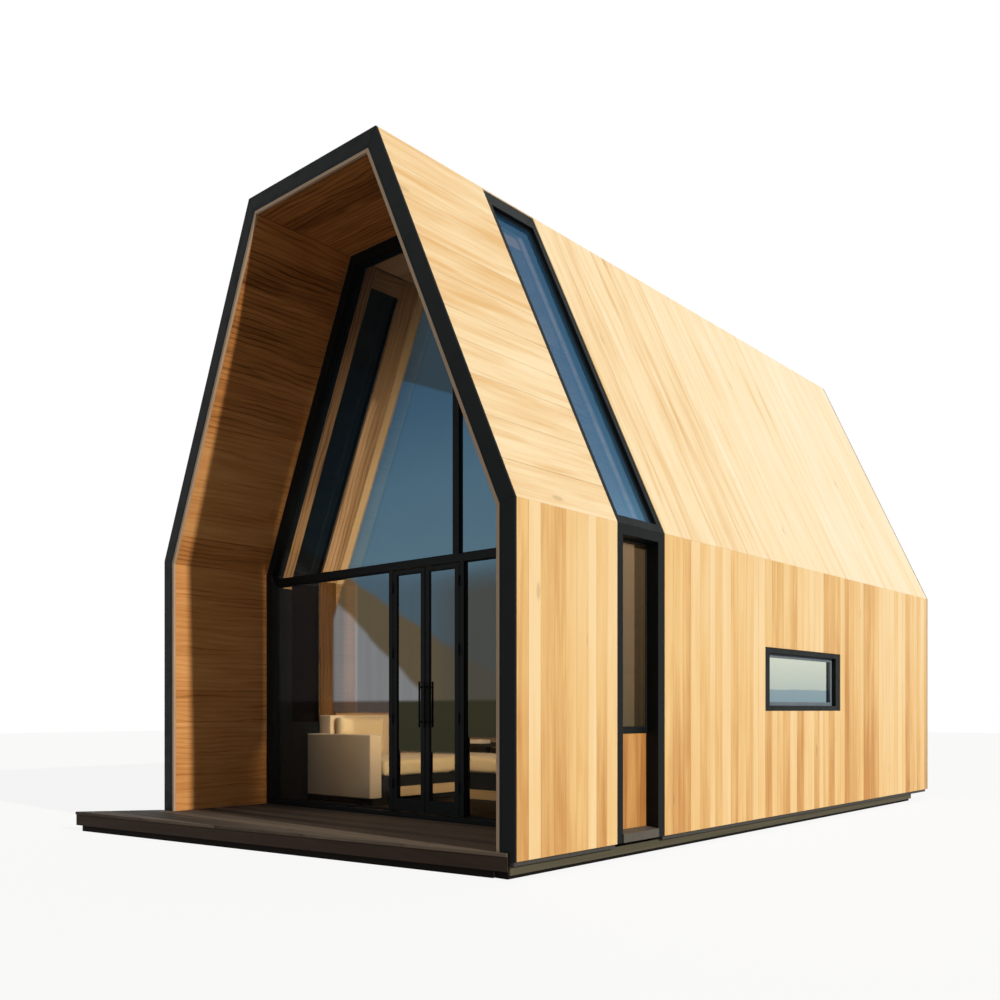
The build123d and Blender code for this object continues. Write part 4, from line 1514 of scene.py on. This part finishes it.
    def ceiling(self) -> None:
        """Lay the boards across the underside of the flat top."""
        start = Vector((-profile.corner_x(self.inner), 0.0, profile.top - self.inner))
        fields = (("porch_ceiling", 13, (self.front + self.casing, self.glazing),
                   finishes.lining_boards, ["ceiling_lining"]),
                  ("room_ceiling", 12, (self.glazing, self.rear), finishes.painted_light_ceiling_boards, []))
        for name, seed, span, finish, replaced in fields:
            boards = Boards.fine(seed)
            for middle, width in boards.spread(span, self.widths):
                size = (width - self.gap, self.board, -2 * start.x)
                boards.lay(start + BACK * middle, ACROSS, UP * -1.0, size)
            boards.piece(name, finish, replaced)

    def rear_wall(self) -> None:
        """Lay the level boards on the room's rear wall, trimmed to the slopes."""
        boards = Boards.fine(24)
        low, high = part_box("rear_lining")
        for middle, width in boards.spread((low.z, high.z), self.widths):
            foot = Vector((low.x, low.y, middle))
            size = (width - self.gap, high.y - low.y, high.x - low.x)
            boards.lay(foot, ACROSS, BACK * -1.0, size, cuts=slope_cuts(high.x))
        boards.piece("rear_boards", finishes.room_boards, ["rear_lining"])


@dataclass
class Shell:
    """Metal edge trims and the structural panels."""

    trims: tuple[str, ...] = ("edge_posts", "edge_rafters", "edge_heads")
    panels: tuple[str, ...] = ("wall_panels", "window_bay_panels", "roof_panels", "top_panel",
                               "rear_panel")

    def build(self) -> None:
        """Soften the trims and finish the panels."""
        for node in self.trims:
            softened(f"{node}_trim", node, finishes.black_metal)
        for node in self.panels:
            finishes.dress(frame["nodes"][node], finishes.panel_core)


@dataclass
class GlazedWall:
    """The recessed wall of glass with its hinged leaves."""

    ease: float = 0.0025
    leaf_ease: float = 0.0015
    bead_width: float = 0.012
    leaf_bead_width: float = 0.0084
    bead_height: float = 0.006

    def build(self) -> None:
        """Dress the frame, the leaves, their glass and the gaskets."""
        for node in ("glazing_posts", "glazing_rafters", "glazing_rails", "transom", "mullions"):
            softened(f"{node}_frame", node, finishes.black_metal, self.ease)
        leaves = (("left_door", Body.LEFT_LEAF), ("right_door", Body.RIGHT_LEAF))
        for leaf, body in leaves:
            softened(f"{leaf}_leaf", f"{leaf}_frame", finishes.black_metal, self.leaf_ease, body)
            finishes.dress(frame["nodes"][f"{leaf}_glass"], finishes.front_glass)
            beads(f"{leaf}_gaskets", f"{leaf}_glass", finishes.gasket, self.leaf_bead_width,
                  self.bead_height, body)
        finishes.dress(frame["nodes"]["front_glass"], finishes.front_glass)
        beads("front_gaskets", "front_glass", finishes.gasket, self.bead_width, self.bead_height)


@dataclass
class GlazedStrips:
    """The strips of glass that run up both walls and slopes."""

    infill_ease: float = 0.002
    bead_width: float = 0.014
    bead_height: float = 0.010
    sheet: float = 0.003
    sheet_ease: float = 0.001
    sheet_gap: float = 0.001
    sheet_margin: float = 0.045

    def build(self) -> None:
        """Dress the frames, glass, infill boards and sills."""
        self.painted_shade_sheets()
        softened("roof_strip_surrounds", "roof_strip_frames", finishes.black_metal)
        softened("wall_strip_surrounds", "wall_strip_frames", finishes.black_metal)
        softened("strip_infills", "wall_strip_panels", finishes.infill_boards, self.infill_ease)
        softened("strip_sill_sheets", "strip_sills", finishes.sill_metal)
        panes = (("roof_strip_glass", finishes.slope_glass),
                 ("wall_strip_glass", finishes.wall_glass))
        for node, finish in panes:
            finishes.dress(frame["nodes"][node], finish)
            beads(f"{node}_gaskets", node, finishes.gasket, self.bead_width, self.bead_height)

    def painted_shade_sheets(self) -> None:
        """Face the room side of each infill, and the lining before it, with dark sheet that is
        painted shade.
        """
        low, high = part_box("wall_strip_glass")
        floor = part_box("cabin_floor")[1]
        joint = low.y + 2 * self.sheet_margin
        before = (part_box("glazing_posts")[1].y, joint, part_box("transom")[0].z)
        under = (joint + self.sheet_gap, high.y - self.sheet_margin, low.z)
        sheets = bmesh.new()
        for side in Side:
            face = side.value * floor.x
            near, far = sorted((face, face - side.value * self.sheet))
            for start, end, top in (before, under):
                add_block(sheets, (near, start, floor.z + self.sheet_gap), (far, end, top))
        round_edges(sheets, self.sheet_ease, segments=1)
        piece_from("strip_painted_shade_sheets", sheets, Body.CABIN, finishes.black_metal)


@dataclass
class SideWindows:
    """The fixed windows in both side walls."""

    bead_width: float = 0.040
    bead_height: float = 0.010

    def build(self) -> None:
        """Dress the frames and the glass."""
        softened("window_surrounds", "window_frames", finishes.black_metal)
        finishes.dress(frame["nodes"]["window_glass"], finishes.side_glass)
        beads("window_gaskets", "window_glass", finishes.painted_highlight_window_gasket, self.bead_width,
              self.bead_height)


@dataclass
class Deck:
    """The porch floor and the wedge of deck in front of it."""

    gap: float = 0.006
    inner_boards: int = 8
    outer_boards: int = 5
    board_ease: float = 0.004
    heel_overhang: float = 0.03
    right_overhang: float = 0.016
    joint: float = 0.003

    def build(self) -> None:
        """Lay the deck boards and dress the timbers under them."""
        boards = Boards(31, edge=self.board_ease)
        low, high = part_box("deck_boards")
        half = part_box("cabin_floor")[1].x
        back = profile.front - self.joint
        thick = high.z - low.z
        tip = Vector((low.x, low.y, 0.0))
        heel = Vector((-profile.half - self.heel_overhang, back, 0.0))
        right = Vector((high.x, profile.front - self.right_overhang, 0.0))
        front_out = (right - tip).cross(UP).normalized()
        heel_out = (tip - heel).cross(UP).normalized()
        cuts = [(tip, front_out), (tip, heel_out), (right, ACROSS)]
        for middle, width in self.courses((back, high.y), self.inner_boards):
            start = Vector((-half, middle, high.z))
            boards.lay(start, ACROSS, UP, (width, thick, 2 * half))
        for middle, width in self.courses((low.y, back), self.outer_boards):
            start = Vector((low.x, middle, high.z))
            size = (width, thick, high.x - low.x)
            boards.lay(start, ACROSS, UP, size, cuts=cuts)
        boards.piece("deck_planks", finishes.deck_boards, ["deck_boards"])
        softened("fascia_boards", "deck_fascia", finishes.fascia_board)
        softened("bearer_timbers", "deck_bearer", finishes.painted_shade_timber)
        softened("joist_timbers", "deck_joists", finishes.base_timber)

    def courses(self, span: Span, count: int) -> list[Span]:
        """Divide a span evenly, and return each board's middle and width."""
        pitch = (span[1] - span[0]) / count
        return [(span[0] + (index + 0.5) * pitch, pitch - self.gap) for index in range(count)]


@dataclass
class Base:
    """The chassis, the skirting boards and the room's floor."""

    floor_board: float = 0.17
    floor_gap: float = 0.001

    def build(self) -> None:
        """Dress the timbers and lay the room's floor boards."""
        for node, finish in (("chassis_beams", finishes.painted_shade_timber),
                             ("chassis_cross_members", finishes.painted_shade_timber),
                             ("skirting_boards", finishes.base_timber)):
            softened(f"{node}_timbers", node, finish)
        boards = Boards.fine(41)
        low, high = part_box("cabin_floor")
        widths = (self.floor_board, self.floor_board)
        for middle, width in boards.spread((low.x, high.x), widths):
            start = Vector((middle, low.y, high.z))
            size = (width - self.floor_gap, high.z - low.z, high.y - low.y)
            boards.lay(start, BACK, UP, size)
        boards.piece("painted_shade_room_floor", finishes.painted_shade_floor_boards, ["cabin_floor"])


@dataclass
class Furniture:
    """The corner sofa and the low table behind the glass."""

    arm_width: float = 0.165
    arm_height: float = 0.737
    arm_reach: float = 1.05
    back_width: float = 0.20
    back_length: float = 0.88
    ledge_height: float = 0.186
    seat_reach: float = 1.08
    return_depth: float = 0.95
    base_height: float = 0.29
    base_setback: float = 0.06
    foot: float = 0.07
    board_height: float = 0.104
    board_thickness: float = 0.036
    rail_low: float = 0.075
    rail_gap: float = 0.10
    round_off: float = 0.014
    timber_ease: float = 0.004
    seam: float = 0.002
    tray: Triple = (0.21, 0.15, 0.048)
    tray_place: Span = (0.29, 0.10)
    tray_rim: float = 0.012
    tray_bottom: float = 0.010
    tray_ease: float = 0.002
    tray_play: float = 0.001
    pad_shrink: float = 0.016
    pad_lift: float = 0.004
    pad_round: float = 0.22
    pad_fill: float = 0.75
    pad_voxel: float = 0.018
    pad_cap: float = 0.022
    pad_pressure: float = 4.0
    pad_steps: int = 20

    def build(self) -> None:
        """Build the sofa's frame, its cushions and the table."""
        self.upholstery()
        self.timbers()
        self.cushions()
        softened("low_table_timbers", "low_table", finishes.table_timber)
        self.table_tray()

    def table_tray(self) -> None:
        """Stand a pale shallow tray on the low table."""
        low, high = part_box("low_table")
        length, depth, height = self.tray
        start = (low.x + self.tray_place[0] - length / 2, low.y + self.tray_place[1] - depth / 2,
                 high.z + self.tray_play)
        tray = bmesh.new()
        add_block(tray, start, (start[0] + length, start[1] + depth, start[2] + height))
        tray.faces.ensure_lookup_table()
        top = max(tray.faces, key=lambda face: face.calc_center_median().z)
        bmesh.ops.inset_region(tray, faces=[top], thickness=self.tray_rim)
        bmesh.ops.translate(tray, verts=top.verts, vec=(0.0, 0.0, self.tray_bottom - height))
        round_edges(tray, self.tray_ease)
        store_grain(tray, 8)
        piece_from("table_tray", tray, Body.CABIN, finishes.tray_timber)

    def upholstery(self) -> None:
        """Build the arm, the back and the ledge behind the seat."""
        low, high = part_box("sofa")
        arm_end = low.y + self.arm_width
        back_end = arm_end + self.back_length
        inner = low.x + self.back_width
        seat = low.z + self.base_height
        self.upholstered("sofa_arm", (low.x, low.y, low.z + self.foot),
                         (low.x + self.arm_reach, arm_end, low.z + self.arm_height), ["sofa"])
        self.upholstered("sofa_back", (low.x, arm_end + self.seam, seat),
                         (inner, back_end, high.z))
        self.upholstered("sofa_ledge", (low.x, back_end + self.seam, seat),
                         (inner, high.y, seat + self.ledge_height))

    def timbers(self) -> None:
        """Build the plinth, and the pale board and rail before it."""
        low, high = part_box("sofa")
        turn = high.y - self.return_depth
        front = low.x + self.seat_reach - self.base_setback
        corner = turn + self.base_setback
        top = low.z + self.base_height - self.seam
        plinth = [((low.x, low.y + self.base_setback, low.z), (front, corner, top)),
                  ((low.x, corner + self.seam / 2, low.z),
                   (high.x - self.base_setback, high.y, top))]
        self.timber("sofa_plinth", plinth, 5, finishes.painted_shade_timber)
        reach = low.x + self.seat_reach
        rail = low.z + self.rail_low
        rail_start = low.y + self.arm_width + self.rail_gap
        boards = [((reach, turn, low.z),
                   (high.x, turn + self.board_thickness, low.z + self.board_height)),
                  ((reach - self.board_thickness, rail_start, rail),
                   (reach, turn - 2 * self.seam, rail + self.board_height))]
        self.timber("sofa_board", boards, 6, finishes.rail_board)

    def timber(self, name: str, blocks: Sequence[tuple[Triple, Triple]], seed: int,
               finish: BoardFinish) -> None:
        """Build a piece of plain timbers with eased edges.

        Args:
            name: The piece's name.
            blocks: The low and the high corner of each timber.
            seed: The seed of its grain.
            finish: Its finish.
        """
        shape = bmesh.new()
        for low, high in blocks:
            add_block(shape, low, high)
        round_edges(shape, self.timber_ease)
        store_grain(shape, seed)
        piece_from(name, shape, Body.CABIN, finish)

    def upholstered(self, name: str, low: Sequence[float], high: Sequence[float],
                    replaced: Sequence[str] = ()) -> None:
        """Build a firm upholstered block with rounded edges.

        Args:
            name: The piece's name.
            low: Its low corner.
            high: Its high corner.
            replaced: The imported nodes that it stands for.
        """
        shape = bmesh.new()
        add_block(shape, low, high)
        round_edges(shape, self.round_off, 4)
        smooth_faces(piece_from(name, shape, Body.CABIN, finishes.sofa_cloth, replaced))

    def cushions(self) -> None:
        """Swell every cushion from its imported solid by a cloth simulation."""
        solids = merged_copy("sofa_cushions")
        boxes = [corners_of(group) for group in islands(solids)]
        solids.free()
        boxes.sort(key=lambda pair: (round(pair[0].z, 2), round(pair[0].x, 2), pair[0].y))
        for index, (low, high) in enumerate(boxes):
            name = f"sofa_cushion_{index + 1}"
            self.cushion(name, low, high, ["sofa_cushions"] if index == 0 else [])

    def cushion(self, name: str, low: Vector, high: Vector, replaced: Sequence[str]) -> None:
        """Build one stuffed cushion.

        Args:
            name: The cushion's name.
            low: The low corner of its solid.
            high: The high corner of its solid.
            replaced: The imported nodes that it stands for.
        """
        shape = bmesh.new()
        shrink = Vector((self.pad_shrink,) * 3)
        inner_low = low + shrink
        inner_low.z = low.z + self.pad_lift
        add_block(shape, inner_low, high - shrink)
        round_edges(shape, min(high - low) * self.pad_round, 3)
        piece = piece_from(name, shape, Body.CABIN, finishes.cushion_cloth, replaced)
        self.swell(piece, low, high)
        smooth_faces(piece)

    def swell(self, piece: bpy.types.Object, low: Vector, high: Vector) -> None:
        """Remesh a cushion, blow it up as cloth, and keep it inside its box.

        Args:
            piece: The cushion.
            low: The low corner of its box.
            high: The high corner of its box.
        """
        remesh = piece.modifiers.new("even", "REMESH")
        remesh.mode = "VOXEL"
        remesh.voxel_size = self.pad_voxel
        self.apply(piece)
        start = [vert.co.copy() for vert in piece.data.vertices]
        cloth = piece.modifiers.new("cloth", "CLOTH")
        cloth.settings.use_pressure = True
        cloth.settings.uniform_pressure_force = self.pad_pressure
        cloth.settings.effector_weights.gravity = 0.0
        scene = bpy.context.scene
        for number in range(1, self.pad_steps + 1):
            scene.frame_set(number)
        self.apply(piece)
        scene.frame_set(1)
        for vert, old in zip(piece.data.vertices, start):
            step = vert.co - old
            if step.length > self.pad_cap:
                step *= self.pad_cap / step.length
            place = old + step
            vert.co = [min(max(place[i], low[i]), high[i]) for i in range(3)]
        finer = piece.modifiers.new("finer", "SUBSURF")
        finer.levels = finer.render_levels = 1
        self.apply(piece)

    @staticmethod
    def apply(piece: bpy.types.Object) -> None:
        """Write a piece's modifiers into its mesh.

        Args:
            piece: The piece, whose old mesh is dropped.
        """
        graph = bpy.context.evaluated_depsgraph_get()
        mesh = bpy.data.meshes.new_from_object(piece.evaluated_get(graph))
        old = piece.data
        piece.modifiers.clear()
        piece.data = mesh
        bpy.data.meshes.remove(old)


# --- studio ---------------------------------------------------------------------------------------


@dataclass
class Studio:
    """The plain pale floor, the soft light and the camera."""

    floor_size: float = 90.0
    paper: Colour = (0.40, 0.39, 0.38)
    glow: float = 0.87
    key_towards: Triple = (10.3, -0.47, 4.7)
    key_strength: float = 2.75
    key_colour: Colour = (1.0, 0.95, 0.87)
    key_softness: float = 1.2
    ambient: float = 0.24
    lamp_power: float = 370.0
    lamp_colour: Colour = (1.0, 0.84, 0.60)
    lamp_radius: float = 0.15
    lamp_cone: float = 116.0
    lamp_place: Triple = (1.2, -2.85, 1.75)
    lamp_target: Triple = (-1.4, -1.45, 2.25)
    beside: float = 4.454
    ahead: float = 5.237
    eye_height: float = 1.062
    heading: float = 41.24
    lens: float = 35.67
    sensor: float = 36.0
    rise: float = 0.2097

    def build(self) -> None:
        """Set up the floor, the world, the lamps and the camera."""
        self.floor()
        self.world()
        self.key()
        self.room_lamp()
        self.camera()
        bpy.context.scene.view_settings.view_transform = "Standard"

    def floor(self) -> None:
        """Lay the floor, which looks pale and keeps the cabin's shadow."""
        shape = bmesh.new()
        bmesh.ops.create_grid(shape, x_segments=1, y_segments=1, size=self.floor_size / 2)
        mesh = bpy.data.meshes.new("floor")
        shape.to_mesh(mesh)
        shape.free()
        floor = bpy.data.objects.new("floor", mesh)
        bpy.context.scene.collection.objects.link(floor)
        graph = Surface("floor_paper")
        seen = graph.direct()
        glow = graph.add("ShaderNodeEmission", {}, {"Color": WHITE, "Strength": 1.0})
        paper = graph.mix(seen, self.paper, WHITE)
        flat = graph.add("ShaderNodeBsdfDiffuse", {}, {"Color": paper})
        blend = graph.add("ShaderNodeMixShader", {}, {
            0: seen * self.glow, 1: flat.outputs[0], 2: glow.outputs[0]})
        output = graph.tree.nodes["Material Output"]
        graph.plug(output.inputs["Surface"], blend.outputs[0])
        mesh.materials.append(graph.material)

    def world(self) -> None:
        """Light the scene softly from all round, before a white background."""
        world = bpy.data.worlds.new("studio")
        bpy.context.scene.world = world
        world.use_nodes = True
        graph = Graph(world.node_tree)
        graph.tree.nodes.clear()
        soft, white = (
            graph.add("ShaderNodeBackground", {}, {"Color": WHITE, "Strength": strength})
            for strength in (self.ambient, 1.0))
        blend = graph.add("ShaderNodeMixShader", {}, {
            0: graph.direct(), 1: soft.outputs[0], 2: white.outputs[0]})
        graph.add("ShaderNodeOutputWorld", {}, {0: blend.outputs[0]})

    def key(self) -> None:
        """Set the main lamp, which shines from the right."""
        lamp = bpy.data.lights.new("key", "SUN")
        lamp.energy = self.key_strength
        lamp.color = self.key_colour
        lamp.angle = math.radians(self.key_softness)
        holder = bpy.data.objects.new("key", lamp)
        holder.rotation_euler = Vector(self.key_towards).to_track_quat("Z", "Y").to_euler()
        bpy.context.scene.collection.objects.link(holder)

    def room_lamp(self) -> None:
        """Set a small soft lamp inside, just behind the glazed wall."""
        lamp = bpy.data.lights.new("room_lamp", "SPOT")
        lamp.spot_size = math.radians(self.lamp_cone)
        lamp.spot_blend = 1.0
        lamp.shadow_soft_size = self.lamp_radius
        lamp.energy = self.lamp_power
        lamp.color = self.lamp_colour
        holder = bpy.data.objects.new("room_lamp", lamp)
        holder.location = self.lamp_place
        facing = Vector(self.lamp_place) - Vector(self.lamp_target)
        holder.rotation_euler = facing.to_track_quat("Z", "Y").to_euler()
        holder.visible_camera = False
        holder.visible_glossy = False
        bpy.context.scene.collection.objects.link(holder)

    def camera(self) -> None:
        """Set the camera low, in front of the right-hand corner."""
        lens = bpy.data.cameras.new("camera")
        lens.lens = self.lens
        lens.sensor_width = self.sensor
        lens.shift_y = self.rise
        camera = bpy.data.objects.new("camera", lens)
        camera.location = (profile.half + self.beside, profile.front - self.ahead,
                           profile.base + self.eye_height)
        camera.rotation_euler = (math.pi / 2, 0.0, math.radians(self.heading))
        bpy.context.scene.collection.objects.link(camera)
        bpy.context.scene.camera = camera


def main() -> None:
    """Build every sub-assembly in order."""
    logging.basicConfig(level=logging.INFO, format="%(name)s: %(message)s")
    for part in (Studio(), Cladding(), Lining(), Shell(), GlazedWall(), GlazedStrips(),
                 SideWindows(), Deck(), Base(), Furniture()):
        log.info("building %s", type(part).__name__)
        part.build()


if __name__ == "__main__":
    main()
